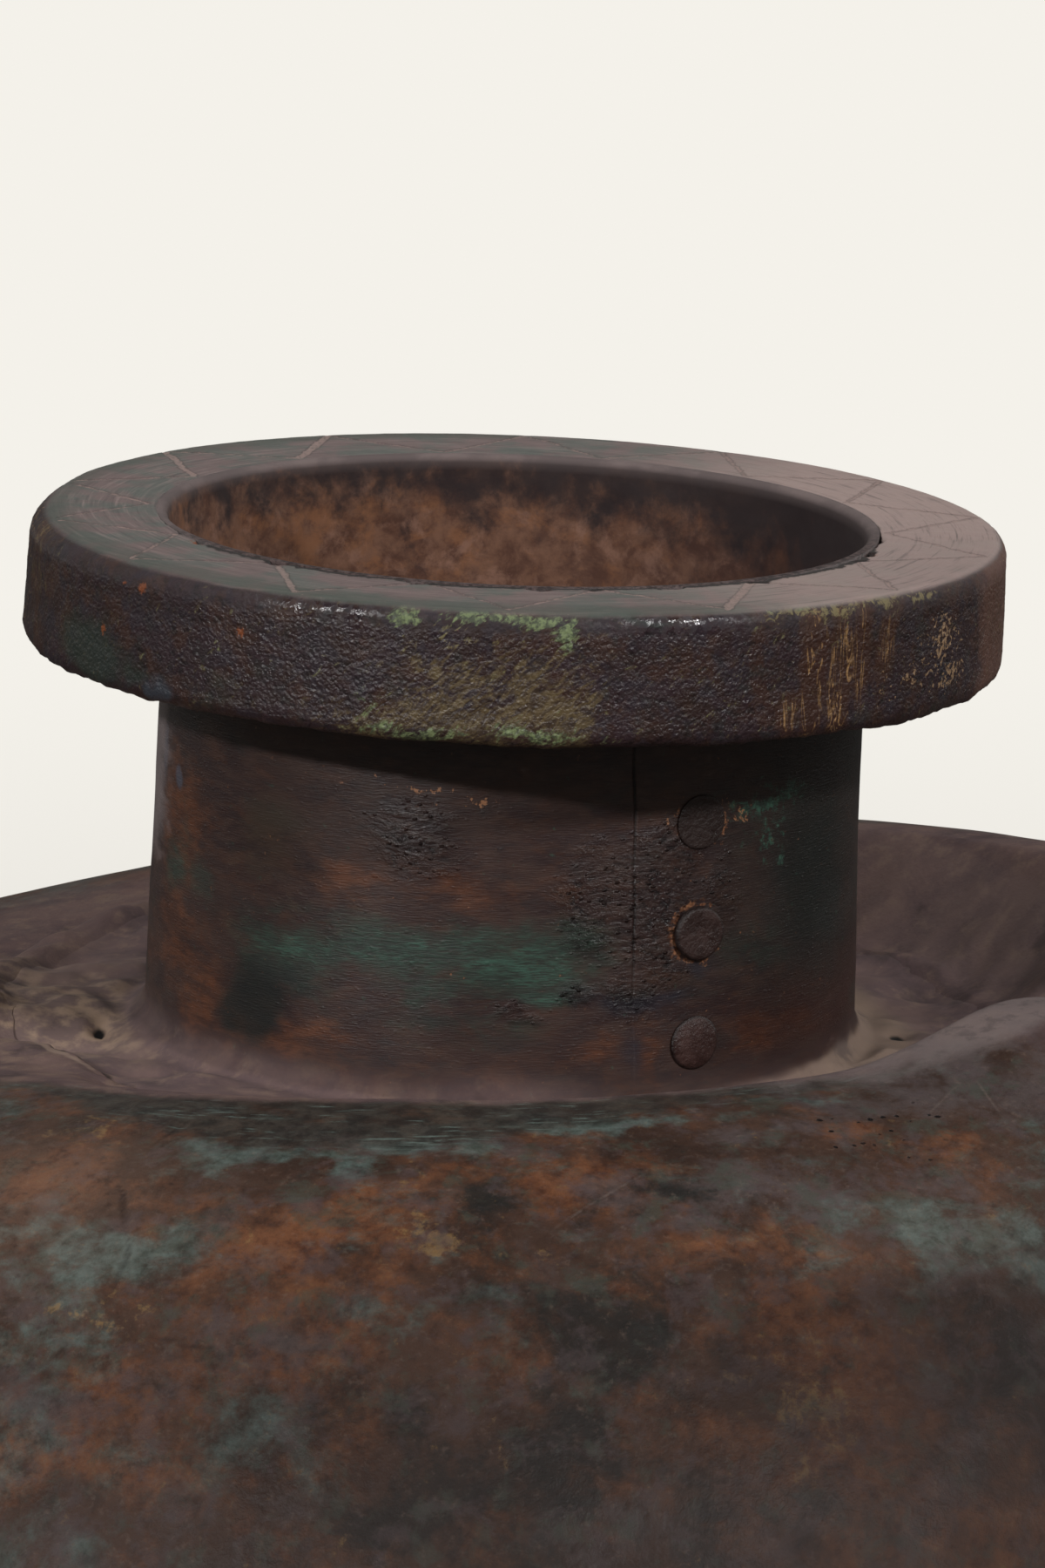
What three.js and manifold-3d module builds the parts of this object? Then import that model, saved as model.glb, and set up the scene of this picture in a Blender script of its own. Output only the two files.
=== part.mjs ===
// A riveted sheet-copper water pot. A raised bowl and a raised shoulder are lapped and riveted
// round the belly, a rolled collar with a riveted lap seam makes the neck, and a heavy cast ring,
// held by the collar's flared lip, makes the rim. Old knocks have dished the shoulder round the neck.
// Millimetres, +Z up, origin at the centre of the base, -Y towards the viewer.
// An azimuth runs from -Y towards +X.
import * as THREE from "three";
import { mergeVertices } from "three/addons/utils/BufferGeometryUtils.js";
import Module from "manifold-3d";

const wasm = await Module();
wasm.setup();

// Driving dimensions of the body
const CLEARANCE = 0.3; // gap between neighbouring pieces
const BODY_RADIUS = 245; // outside of the belly
const BELLY_HEIGHT = 204; // middle of the belly seam above the base
const BASE_RADIUS = 85; // flat that the pot stands on
const BODY_WALL = 1.8; // bowl and shoulder sheet
const SEAM_LAP = 26; // height of the overlap at the belly
const SHOULDER_RISE = 138; // from the middle of the belly seam to the collar's flange
const MOAT_DEPTH = 17.5; // how far the shoulder's crest stands above the flange
const CREST_RADIUS = 125; // circle on which the crest runs

// Driving dimensions of the neck
const NECK_HEIGHT = 106; // top of the flange to top of the rim
const NECK_RADIUS = 72; // outside of the collar just below the rim
const FOOT_SPREAD = 1.3; // extra radius at the collar's foot
const LIP_SPREAD = 2; // extra radius at the collar's flared lip
const NECK_WALL = 2.6; // collar sheet
const FOOT_FILLET = 6; // outside curve from collar wall to flange
const FLANGE_RADIUS = 108; // outer edge of the collar's flange
const FLANGE_LAP = 8; // how far the shoulder lies over the flange
const NECK_LEAN = THREE.MathUtils.degToRad(2.2); // the neck leans towards +X
const SEAM_AZIMUTH = THREE.MathUtils.degToRad(21.5); // outer edge of the collar's lap seam
const COLLAR_LAP = 26; // width of the collar's lap, along its wall

// Driving dimensions of the rim
const RIM_RADIUS = 100;
const RIM_HEIGHT = 27;
const RIM_TOP_ROUND = 4.5;
const RIM_FOOT_ROUND = 3;

// Driving dimensions of the rivets
const HEAD_RADIUS = 5.5;
const HEAD_HEIGHT = 1.7;
const SHANK_RADIUS = 2.6;
const TAIL_RADIUS = 4; // peened end inside the pot
const TAIL_TIP_RADIUS = 2.8; // flat on the peened end
const TAIL_HEIGHT = 1.1;
const BELLY_RIVETS = 28;
const NECK_RIVETS = ["upper", "middle", "lower"];
const NECK_RIVET_PITCH = 22.5; // between neighbours up the seam
const NECK_RIVET_TOP = 21.5; // from the underside of the rim to the upper rivet

// Old knocks: each lifts or sinks the crest round one azimuth, fading over its spread
const KNOCKS = [
  { azimuth: THREE.MathUtils.degToRad(-105), spread: THREE.MathUtils.degToRad(66), lift: -25 },
  { azimuth: THREE.MathUtils.degToRad(105), spread: THREE.MathUtils.degToRad(52), lift: 9.5 },
];

// Fineness of the facets
const BODY_SEGMENTS = 2 * BELLY_RIVETS; // a facet's edge runs behind every rivet
const NECK_SEGMENTS = 56;
const CURVE_STEPS = 8;
const ROUND_STEPS = 3;
const DOME_STEPS = 2;
const RIVET_SEGMENTS = 8;

// How far a cutter runs past the surface that it cuts, and how close two corners are to be one
const CUT_MARGIN = 1;
const SAME_CORNER = 1e-4;

// Worked-out places
const SKIRT_TOP = BELLY_HEIGHT + SEAM_LAP / 2;
const SKIRT_FOOT = BELLY_HEIGHT - SEAM_LAP / 2;
const FLANGE_HEIGHT = BELLY_HEIGHT + SHOULDER_RISE;
const CREST_HEIGHT = FLANGE_HEIGHT + MOAT_DEPTH;
const BOWL_RADIUS = BODY_RADIUS - BODY_WALL - CLEARANCE;
const BELLY_GRIP = 2 * BODY_WALL + CLEARANCE;
const RIM_FOOT = NECK_HEIGHT - RIM_HEIGHT;
const FOOT_RADIUS = NECK_RADIUS + FOOT_SPREAD;
const LIP_RADIUS = NECK_RADIUS + LIP_SPREAD;
const LAP_ANGLE = COLLAR_LAP / NECK_RADIUS;
const NECK_RIVET_AZIMUTH = SEAM_AZIMUTH + LAP_ANGLE / 2;

const point = (r, z) => new THREE.Vector2(r, z);

// Points on an ellipse's arc about (r, z), from one angle to another.
function arc(r, z, radiusR, radiusZ, from, to, steps) {
  return Array.from({ length: steps + 1 }, (_, i) => {
    const a = from + ((to - from) * i) / steps;
    return point(r + radiusR * Math.cos(a), z + radiusZ * Math.sin(a));
  });
}

// 0 before low, 1 after high, and a smooth rise between.
const ramp = (x, low, high) => THREE.MathUtils.smoothstep(x, low, high);

// The path moved sideways, to the left of its direction.
function offset(path, distance) {
  return path.map((p, i) => {
    const before = path[Math.max(i - 1, 0)];
    const after = path[Math.min(i + 1, path.length - 1)];
    const along = after.clone().sub(before).normalize();
    return point(p.x - along.y * distance, p.y + along.x * distance);
  });
}

// The path carried on straight past both ends.
function extended(path, distance) {
  const end = (a, b) => a.clone().sub(b).setLength(distance).add(a);
  return [end(path[0], path[1]), ...path, end(path.at(-1), path.at(-2))];
}

// The closed outline of the band between two offsets of one path.
const band = (path, near, far) => [...offset(path, near), ...offset(path, far).reverse()];

const closed = (outline) => [...outline, outline[0].clone()];

// A profile turned about +Z. Azimuth 0 is -Y.
const turned = (profile, segments, from = 0, sweep = 2 * Math.PI) =>
  new THREE.LatheGeometry(profile, segments, from, sweep).rotateX(Math.PI / 2);

// A closed outline turned through part of a circle, with both ends capped.
function wedge(outline, from, to) {
  const sides = turned(closed(outline), 2 * ROUND_STEPS, from, to - from).toNonIndexed();
  const positions = [...sides.getAttribute("position").array];
  const place = (p, azimuth) => [p.x * Math.sin(azimuth), -p.x * Math.cos(azimuth), p.y];
  for (const [a, b, c] of THREE.ShapeUtils.triangulateShape(outline, [])) {
    for (const i of [a, b, c]) positions.push(...place(outline[i], from));
    for (const i of [c, b, a]) positions.push(...place(outline[i], to));
  }
  return new THREE.BufferGeometry().setAttribute("position", new THREE.Float32BufferAttribute(positions, 3));
}

// A closed geometry as a solid that can be cut.
function solid(geometry) {
  const bare = new THREE.BufferGeometry().setAttribute("position", geometry.getAttribute("position").clone());
  if (geometry.index) bare.setIndex(geometry.index.clone());
  const merged = mergeVertices(bare, SAME_CORNER);
  return new wasm.Manifold(
    new wasm.Mesh({
      numProp: 3,
      vertProperties: merged.getAttribute("position").array,
      triVerts: new Uint32Array(merged.index.array),
    }),
  );
}

// A cut solid as a geometry that can be shown.
function shown(cut) {
  const mesh = cut.getMesh();
  const geometry = new THREE.BufferGeometry();
  geometry.setAttribute("position", new THREE.BufferAttribute(mesh.vertProperties, 3));
  geometry.setIndex(new THREE.BufferAttribute(mesh.triVerts, 1));
  geometry.computeVertexNormals();
  return geometry;
}

// What is left of a geometry once the cutters are taken out of it.
const without = (geometry, cutters) =>
  shown(cutters.reduce((left, cutter) => left.subtract(solid(cutter)), solid(geometry)));

// Turns a geometry's +Y to point outwards at an azimuth and sets it at a radius and height.
const set = (geometry, azimuth, radius, height) =>
  geometry.translate(0, radius, 0).rotateZ(azimuth + Math.PI).translate(0, 0, height);

// The hole that a rivet's shank passes through, across a wall of the given outside radius.
function rivetHole(azimuth, radius, height, depth) {
  const boreRadius = SHANK_RADIUS + CLEARANCE;
  const hole = new THREE.CylinderGeometry(boreRadius, boreRadius, depth + 2 * CUT_MARGIN, RIVET_SEGMENTS);
  return set(hole, azimuth, radius - depth / 2, height);
}

// A rivet that grips sheets of the given total thickness, its head's underside at +Y 0.
function rivetGeometry(grip) {
  const tailTop = -grip - 2 * CLEARANCE;
  const dome = arc(0, 0, HEAD_RADIUS, HEAD_HEIGHT, 0, Math.PI / 2, DOME_STEPS);
  const tail = [
    point(0, tailTop - TAIL_HEIGHT),
    point(TAIL_TIP_RADIUS, tailTop - TAIL_HEIGHT),
    point(TAIL_RADIUS, tailTop),
    point(SHANK_RADIUS, tailTop),
  ];
  return new THREE.LatheGeometry([...tail, point(SHANK_RADIUS, 0), ...dome], RIVET_SEGMENTS);
}

// Finishes
const BODY_COPPER = { color: 0x4b3b33, roughness: 0.5, metalness: 0.7 };
const NECK_COPPER = { color: 0x382c28, roughness: 0.5, metalness: 0.7 };
const CAST_BRONZE = { color: 0x3a3031, roughness: 0.6, metalness: 0.6 };
const RIVET_COPPER = { color: 0x3d2f2b, roughness: 0.55, metalness: 0.7 };

function piece(name, geometry, finish) {
  const mesh = new THREE.Mesh(geometry, new THREE.MeshStandardMaterial(finish));
  mesh.name = name;
  return mesh;
}

// How far the knocks and the neck's lean move the shoulder up or down at a radius and azimuth.
function shoulderLift(r, azimuth) {
  const knocked = KNOCKS.reduce((sum, { azimuth: at, spread, lift }) => {
    const turn = Math.atan2(Math.sin(azimuth - at), Math.cos(azimuth - at));
    return sum + lift * Math.exp(-((turn / spread) ** 2));
  }, 0);
  const nearCrest = ramp(r, FLANGE_RADIUS, CREST_RADIUS) * (1 - ramp(r, CREST_RADIUS, BODY_RADIUS));
  const nearFlange = 1 - ramp(r, FLANGE_RADIUS, BODY_RADIUS);
  return knocked * nearCrest - Math.tan(NECK_LEAN) * r * Math.sin(azimuth) * nearFlange;
}

const bellyAzimuths = Array.from({ length: BELLY_RIVETS }, (_, i) => (2 * Math.PI * i) / BELLY_RIVETS);
const bellyHoles = () =>
  bellyAzimuths.map((azimuth) => rivetHole(azimuth, BODY_RADIUS, BELLY_HEIGHT, BELLY_GRIP));

// The lower half of the body: a flat to stand on, a round side and an upright band inside the seam.
function bowlShell() {
  const outside = [
    point(0, 0),
    ...arc(BASE_RADIUS, SKIRT_FOOT, BOWL_RADIUS - BASE_RADIUS, SKIRT_FOOT, -Math.PI / 2, 0, CURVE_STEPS),
    point(BOWL_RADIUS, SKIRT_TOP),
  ];
  const profile = band(outside, 0, BODY_WALL);
  return piece("bowl_shell", without(turned(profile, BODY_SEGMENTS), bellyHoles()), BODY_COPPER);
}

// The upper half of the body: a lap on the collar's flange, the crest, and a skirt over the bowl.
function shoulderShell() {
  const lapTop = FLANGE_HEIGHT + CLEARANCE + BODY_WALL;
  const moatSteps = Array.from({ length: ROUND_STEPS }, (_, i) => (i + 1) / (ROUND_STEPS + 1));
  const moat = moatSteps.map((s) =>
    point(
      THREE.MathUtils.lerp(CREST_RADIUS, FLANGE_RADIUS, s),
      THREE.MathUtils.lerp(CREST_HEIGHT, lapTop, ramp(s, 0, 1)),
    ),
  );
  const outside = [
    point(BODY_RADIUS, SKIRT_FOOT),
    ...arc(CREST_RADIUS, SKIRT_TOP, BODY_RADIUS - CREST_RADIUS, CREST_HEIGHT - SKIRT_TOP,
      0, Math.PI / 2, CURVE_STEPS),
    ...moat,
    point(FLANGE_RADIUS, lapTop),
    point(FLANGE_RADIUS - FLANGE_LAP, lapTop),
  ];
  const geometry = turned(closed(band(outside, 0, BODY_WALL)), BODY_SEGMENTS);
  const places = geometry.getAttribute("position");
  for (let i = 0; i < places.count; i++) {
    const [x, y] = [places.getX(i), places.getY(i)];
    places.setZ(i, places.getZ(i) + shoulderLift(Math.hypot(x, y), Math.atan2(x, -y)));
  }
  return piece("shoulder_shell", without(geometry, bellyHoles()), BODY_COPPER);
}

// The outside of the collar, from the flange's edge up to the flared lip, in the neck's own frame.
const collarOutside = [
  point(FLANGE_RADIUS, 0),
  ...arc(FOOT_RADIUS + FOOT_FILLET, FOOT_FILLET, FOOT_FILLET, FOOT_FILLET,
    -Math.PI / 2, -Math.PI, ROUND_STEPS),
  point(NECK_RADIUS, RIM_FOOT),
  point(LIP_RADIUS, NECK_HEIGHT),
];

const neckRivetHeights = NECK_RIVETS.map((_, i) => RIM_FOOT - NECK_RIVET_TOP - i * NECK_RIVET_PITCH);

// Outside radius of the collar's wall at a height between its foot and the rim.
function collarRadius(height) {
  const share = (height - FOOT_FILLET) / (RIM_FOOT - FOOT_FILLET);
  return THREE.MathUtils.lerp(FOOT_RADIUS, NECK_RADIUS, share);
}

// The rolled collar. Its ends are thinned to half and lapped, so the seam is flush outside.
function neckCollar() {
  const through = extended(collarOutside, CUT_MARGIN);
  const middle = NECK_WALL / 2;
  const slit = CLEARANCE / 2;
  const slitAngle = CLEARANCE / NECK_RADIUS;
  const [outerEdge, innerEdge] = [SEAM_AZIMUTH, SEAM_AZIMUTH + LAP_ANGLE];
  const seam = [
    wedge(band(through, -CUT_MARGIN, middle + slit), outerEdge, outerEdge + slitAngle),
    wedge(band(through, middle - slit, middle + slit), outerEdge, innerEdge),
    wedge(band(through, middle - slit, NECK_WALL + CUT_MARGIN), innerEdge - slitAngle, innerEdge),
  ];
  const holes = neckRivetHeights.map((height) =>
    rivetHole(NECK_RIVET_AZIMUTH, collarRadius(height), height, NECK_WALL));
  const sheet = turned(closed(band(collarOutside, 0, NECK_WALL)), NECK_SEGMENTS);
  return piece("neck_collar", without(sheet, [...seam, ...holes]), NECK_COPPER);
}

// The cast ring, bored to follow the collar's flare.
function rimRing() {
  const profile = [
    point(NECK_RADIUS + CLEARANCE, RIM_FOOT),
    ...arc(RIM_RADIUS - RIM_FOOT_ROUND, RIM_FOOT + RIM_FOOT_ROUND, RIM_FOOT_ROUND, RIM_FOOT_ROUND,
      -Math.PI / 2, 0, ROUND_STEPS),
    ...arc(RIM_RADIUS - RIM_TOP_ROUND, NECK_HEIGHT - RIM_TOP_ROUND, RIM_TOP_ROUND, RIM_TOP_ROUND,
      0, Math.PI / 2, ROUND_STEPS),
    point(LIP_RADIUS + CLEARANCE, NECK_HEIGHT),
  ];
  return piece("rim_ring", turned(closed(profile), NECK_SEGMENTS), CAST_BRONZE);
}

// A rivet set in a wall of the given outside radius.
function rivet(name, grip, azimuth, radius, height) {
  const mesh = piece(name, rivetGeometry(grip), RIVET_COPPER);
  mesh.position.y = radius + CLEARANCE;
  const arm = new THREE.Group();
  arm.rotation.z = azimuth + Math.PI;
  arm.position.z = height;
  arm.add(mesh);
  return arm;
}

const bellyRivets = bellyAzimuths.map((azimuth, i) =>
  rivet(`belly_rivet_${String(i + 1).padStart(2, "0")}`, BELLY_GRIP, azimuth, BODY_RADIUS, BELLY_HEIGHT));

const neckRivets = neckRivetHeights.map((height, i) =>
  rivet(`neck_rivet_${NECK_RIVETS[i]}`, NECK_WALL, NECK_RIVET_AZIMUTH, collarRadius(height), height));

const neck = new THREE.Group();
neck.position.z = FLANGE_HEIGHT;
neck.rotation.y = NECK_LEAN;
neck.add(neckCollar(), rimRing(), ...neckRivets);

const pot = new THREE.Group();
pot.add(bowlShell(), shoulderShell(), neck, ...bellyRivets);

export default pot;
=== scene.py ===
import math

import bmesh
import bpy
import numpy as np
from mathutils import Matrix


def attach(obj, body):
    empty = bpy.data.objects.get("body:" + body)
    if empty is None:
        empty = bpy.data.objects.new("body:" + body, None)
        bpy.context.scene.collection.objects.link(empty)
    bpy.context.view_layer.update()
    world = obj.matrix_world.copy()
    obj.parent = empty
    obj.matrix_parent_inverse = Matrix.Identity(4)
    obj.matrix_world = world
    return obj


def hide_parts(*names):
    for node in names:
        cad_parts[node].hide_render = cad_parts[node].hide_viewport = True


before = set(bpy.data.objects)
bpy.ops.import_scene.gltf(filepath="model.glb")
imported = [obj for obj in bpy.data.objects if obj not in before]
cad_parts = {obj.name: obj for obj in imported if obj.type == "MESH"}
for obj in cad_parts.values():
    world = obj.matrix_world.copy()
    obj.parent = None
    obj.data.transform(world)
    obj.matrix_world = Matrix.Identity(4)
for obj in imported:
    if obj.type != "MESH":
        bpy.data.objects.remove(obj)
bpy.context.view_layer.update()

# Sizes of the pot in millimetres. Meshes are brought to the frame's metres when they are made.
MM = 0.001
BODY_RADIUS = 245
BELLY_HEIGHT = 204
BASE_RADIUS = 85
BODY_WALL = 1.8
CLEARANCE = 0.3
SEAM_LAP = 26
FLANGE_HEIGHT = 342
MOAT_DEPTH = 17.5
CREST_RADIUS = 125
FLANGE_RADIUS = 108
FLANGE_LAP = 8
NECK_HEIGHT = 106
NECK_RADIUS = 72
FOOT_RADIUS = 73.3
LIP_RADIUS = 74
NECK_WALL = 2.6
FOOT_FILLET = 6
LIP_ROUND = 1.2
NECK_LEAN = math.radians(2.2)
RIM_RADIUS = 100
RIM_HEIGHT = 27
RIM_TOP_ROUND = 3.24
RIM_FOOT_ROUND = 3
RIVET_AZIMUTH = math.radians(31.85)
RIVET_HEIGHTS = {"upper": 57.5, "middle": 35, "lower": 12.5}
HEAD_HEIGHTS = {"upper": 0.22, "middle": 1.3, "lower": 1.4}
HEAD_AGES = {"upper": 1, "middle": 0.6, "lower": 0}
BELLY_RIVETS = 28
BELLY_HEAD = 1.5
BELLY_HEAD_SPREAD = 0.2
HEAD_RADIUS = 5.5
HEAD_EDGE = 0.7
SHANK_RADIUS = 2.6
TAIL_RADIUS = 4
TAIL_HEIGHT = 1.1

# Outline of a rivet's tail from its middle, as shares of its radius and height
TAIL_OUTLINE = ((0, 1), (0.5, 1), (0.85, 0.8), (1, 0))

SKIRT_TOP = BELLY_HEIGHT + SEAM_LAP / 2
SKIRT_FOOT = BELLY_HEIGHT - SEAM_LAP / 2
CREST_HEIGHT = FLANGE_HEIGHT + MOAT_DEPTH
LAP_TOP = FLANGE_HEIGHT + CLEARANCE + BODY_WALL
LAP_END = FLANGE_RADIUS - FLANGE_LAP
BOWL_RADIUS = BODY_RADIUS - BODY_WALL - CLEARANCE
BELLY_GRIP = 2 * BODY_WALL + CLEARANCE
RIM_FOOT = NECK_HEIGHT - RIM_HEIGHT

# Points round each piece
SHOULDER_POINTS = 560
BOWL_POINTS = 420
COLLAR_POINTS = 580
RIM_POINTS = 900
RIVET_POINTS = 40

# Where marks seen in the photograph give way to marks by chance, in degrees either side of the front
SHOULDER_FRONT = (33, 57)
NECK_FRONT = (68, 92)
RIM_FRONT = (63, 87)
MOAT_FRONT = (15, 50)

# Radii where the moat's lumps and dust begin, are full, begin to fade and end
MOAT_LUMPS = (76, 83, 114, 124)
MOAT_DUST = (76, 80, 128, 132)

# Places by azimuth and spread in degrees: the ring's worn and smooth left, the neck's left edge, paler with
# dust and a painted sheen, pale dust with painted light on the left of the moat, painted light on its right
# wall where the neck's shadow falls, and the dark part of the neck's inside
WORN_RIM = (-88, 38)
SMOOTH_RIM = (-84, 30)
EDGE_DUST_AND_PAINTED_SHEEN = (-86, 12)
LEFT_DUST_AND_PAINTED_LIGHT = (-86, 20)
RIGHT_PAINTED_LIGHT = (112, 34)
DARK_INSIDE = (112, 38)

# Old knocks round the neck: azimuth and spread in degrees, and lift of the crest
KNOCKS = ((-105, 66, -25), (110, 48, 7), (52, 12, 7.2))

# The moat's right wall leans out: azimuth and spread in degrees, how far its crest moves, where the lean ends
LEANING_WALL = (105, 34, 15)
LEAN_END = 205

# The lap's ragged edge on the left, by azimuth and spread in degrees, stands up. Elsewhere it is let in.
RAGGED_LAP = (-64, 17)
RAGGED_LIFT = 1.5
LET_IN = 0.35

# The collar's lap seam: azimuth at the foot and under the rim, in degrees
SEAM_TURN = (21.6, 19.8)

# The crack round the mouth: middle of its open part, and how far from there it begins to close and is closed
CRACK_MIDDLE = math.radians(8)
CRACK_CLOSING = (62, 92)

# The zigzag cut into the rim's top: azimuth in degrees and radius of a tooth's tip and root.
# Some strokes are bolder: their azimuth and how bold they are.
TEETH = 14
TOOTH_TIP = (-0.9, 97)
TOOTH_ROOT = (12, 75.5)
BOLD_STROKES = ((-33, 0.35), (29, 0.75), (-126, 0.55), (-150, 0.6))
BOLD_REACH = 6.8755

# Relief: hammer marks and lumps as depth, size and seed, the rest as depth and half width
HAMMERED = ((0.22, 17, 3), (0.6, 62, 4))
NECK_LUMPS = ((0.14, 9, 72), (0.4, 42, 73))
CREASE_DEPTH = 0.25
CREASE_WIDTH = 1.6
SEAM_STEP = 0.3
SEAM_GROOVE = 0.4
SEAM_WIDTH = 0.3
CAST_GRAIN = 0.1
CAST_SWELL = 0.2
RAGGED_FOOT = 0.3
STROKE_DEPTH = 0.2
STROKE_WIDTH = 0.55
CHIP_DEPTH = 0.7
CHIP_WIDTH = 2.2

# Patina by chance: its noise's size, seed and sign, levels where it starts and is full, and the least of it
DRIFTS = {
    "green": (46, 31, 1, 0, 0.8, 0.1),
    "dark": (46, 31, -1, 0.15, 0.9, 0.15),
    "orange": (38, 32, 1, 0, 0.8, 0.25),
    "purple": (38, 32, -1, 0.1, 0.9, 0.25),
    "ochre": (24, 33, 1, 0.55, 1.1, 0.1),
}

# Marks: seed of the noise that bends their edges, how far it bends them, and their spots.
# A spot on the rim or neck: azimuth in degrees, height, half width, half height, strength.
RIM_MARKS = {
    "ochre": (21, 3, (
        (-14, 82, 12, 4.5, 0.8), (-5, 84, 14, 6, 1), (4, 86, 10, 8, 1), (-7, 93, 9, 5, 0.65),
        (1, 97, 9, 4, 0.55), (9, 85, 6, 9, 0.9),
    )),
    "green": (22, 1, (
        (-12.4, 104.4, 3.4, 2.2, 1), (-3, 104.8, 11, 1.8, 1), (3, 104.4, 6, 1.8, 1),
        (5.6, 102.4, 2.6, 3.4, 1), (-11, 80.6, 13, 2, 0.9), (2, 81.2, 12, 2.4, 0.9),
        (-17, 85, 4, 4, 0.5), (33, 105, 6, 1.2, 0.5),
    )),
    "rust": (23, 0.3, (
        (-47.8, 101.6, 1.3, 1.2, 1), (-32.6, 97, 1.2, 1.1, 1), (-54.7, 91.2, 1, 1.2, 0.9),
        (-51, 101.6, 1.2, 0.8, 0.7),
    )),
    "streaks": (25, 1, (
        (-8, 101, 10, 3, 0.5), (33, 104.6, 8, 1.4, 0.9), (39, 104.6, 8, 1.8, 1), (46, 104.9, 9, 1.4, 1),
        (54, 104.6, 7, 1.2, 0.7),
    )),
    "moss": (26, 3, (
        (-57, 86, 15, 7, 0.95), (-49, 83, 7, 4, 0.8), (10, 105.4, 9, 2, 1), (15, 105.8, 6, 1.2, 0.8),
        (58, 81, 10, 3, 0.5), (-36, 84, 10, 5, 0.5), (24, 88, 9, 6, 0.35),
    )),
    "blue": (27, 3, ((-44.8, 82, 5, 3.2, 1), (-41, 80.5, 4, 2, 0.7))),
    "drips": (28, 0.6, (
        (36, 92, 3.4, 16, 1), (39.8, 91, 3.2, 15, 1), (43, 95, 2.8, 12, 0.95), (32.6, 84, 2.6, 5, 0.8),
        (47, 96, 3, 9, 0.6),
    )),
    "specks": (29, 3, (
        (58.5, 96, 8, 5.5, 1), (51, 90, 6, 5, 0.95), (60, 87.5, 8, 5, 0.95), (56, 92, 11, 9, 0.7),
        (47, 85, 8, 5, 0.6),
    )),
}
NECK_MARKS = {
    "orange": (81, 3, (
        (-66, 45, 13, 16, 1), (-65, 26, 13, 13, 1), (-56, 12, 9, 8, 1.1), (-40, 7.5, 18, 4, 1.1),
        (-29, 11, 11, 4.5, 1), (0, 9, 18, 3, 0.35), (-26, 44, 9, 6, 0.9), (-23, 46.5, 4, 4, 0.8),
        (-23, 23, 6, 2.4, 0.6), (-9, 44, 11, 5, 0.9), (16, 12.5, 7, 2.6, 0.8), (24, 11, 3, 6, 1),
        (48, 13, 20, 7, 0.6), (12, 47, 10, 2.5, 0.4),
    )),
    "green": (82, 2, (
        (2, 30, 20, 8, 1.1), (12, 36, 8, 4, 0.8), (6, 23.5, 8, 2.4, 1.3), (-16, 30, 22, 8, 1.05),
        (-34, 27, 15, 8, 1), (-66, 36, 6, 6, 0.8), (-56, 36, 6, 5, 0.7), (46, 31, 10, 5, 0.6),
        (47, 57.5, 10, 5, 0.4), (-12, 23, 18, 5, 0.7), (-8, 17, 20, 4, 0.5), (-1, 31.5, 7, 4, 0.5),
        (0, 38, 8, 3, 0.4),
    )),
    "dark": (83, 2, (
        (-43, 15.5, 9, 9.5, 1.5), (-36, 21, 10, 5, 0.8), (-10, 17, 26, 2.6, 0.6), (21, 22, 9, 3.2, 0.8),
        (60, 42, 18, 24, 1), (40, 52, 10, 8, 0.5), (66, 20, 10, 12, 0.5), (30, 24, 8, 5, 0.6),
        (-53, 36, 6, 12, 0.4), (-2, 13, 16, 4, 0.5),
    )),
    # The neck's blue is a painted sheen along its left edge
    "blue": (84, 1, ((-76, 58, 3, 10, 0.9), (-67.5, 55.5, 2.5, 2.5, 1.2))),
    "pits": (85, 3, (
        (-15, 52, 13, 10, 0.8), (15, 44, 9, 14, 1), (25, 42, 11, 17, 1.2), (12, 24, 7, 3, 0.8),
        (20, 25, 7, 6, 0.9), (1, 20, 7, 2, 0.8), (36, 46, 8, 12, 0.7),
    )),
    "flecks": (86, 0.6, (
        (-22, 65.2, 4, 0.9, 0.9), (-13.5, 63.8, 6, 1, 1), (-4, 61.8, 4, 1.4, 0.9), (26, 58.5, 1.6, 4, 0.8),
        (39.5, 57.5, 3, 3, 0.9), (36.8, 60, 1.1, 3, 0.9), (-12, 60.5, 2, 2, 0.7),
    )),
    "olive": (87, 3, ((-40, 50, 14, 12, 0.8), (-30, 44, 10, 6, 0.6), (60, 10, 16, 6, 0.4))),
    "crust": (88, 0.6, (
        (44, 59, 10, 3.6, 0.9), (51, 61, 9, 3.4, 1), (50, 47.4, 1.1, 1.4, 1.6), (46, 53, 7, 5, 0.7),
    )),
    "navy": (89, 2, ((21, 21, 13, 3, 1), (32, 28, 6, 2.4, 0.8), (21, 12, 4, 7, 0.7))),
}

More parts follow.
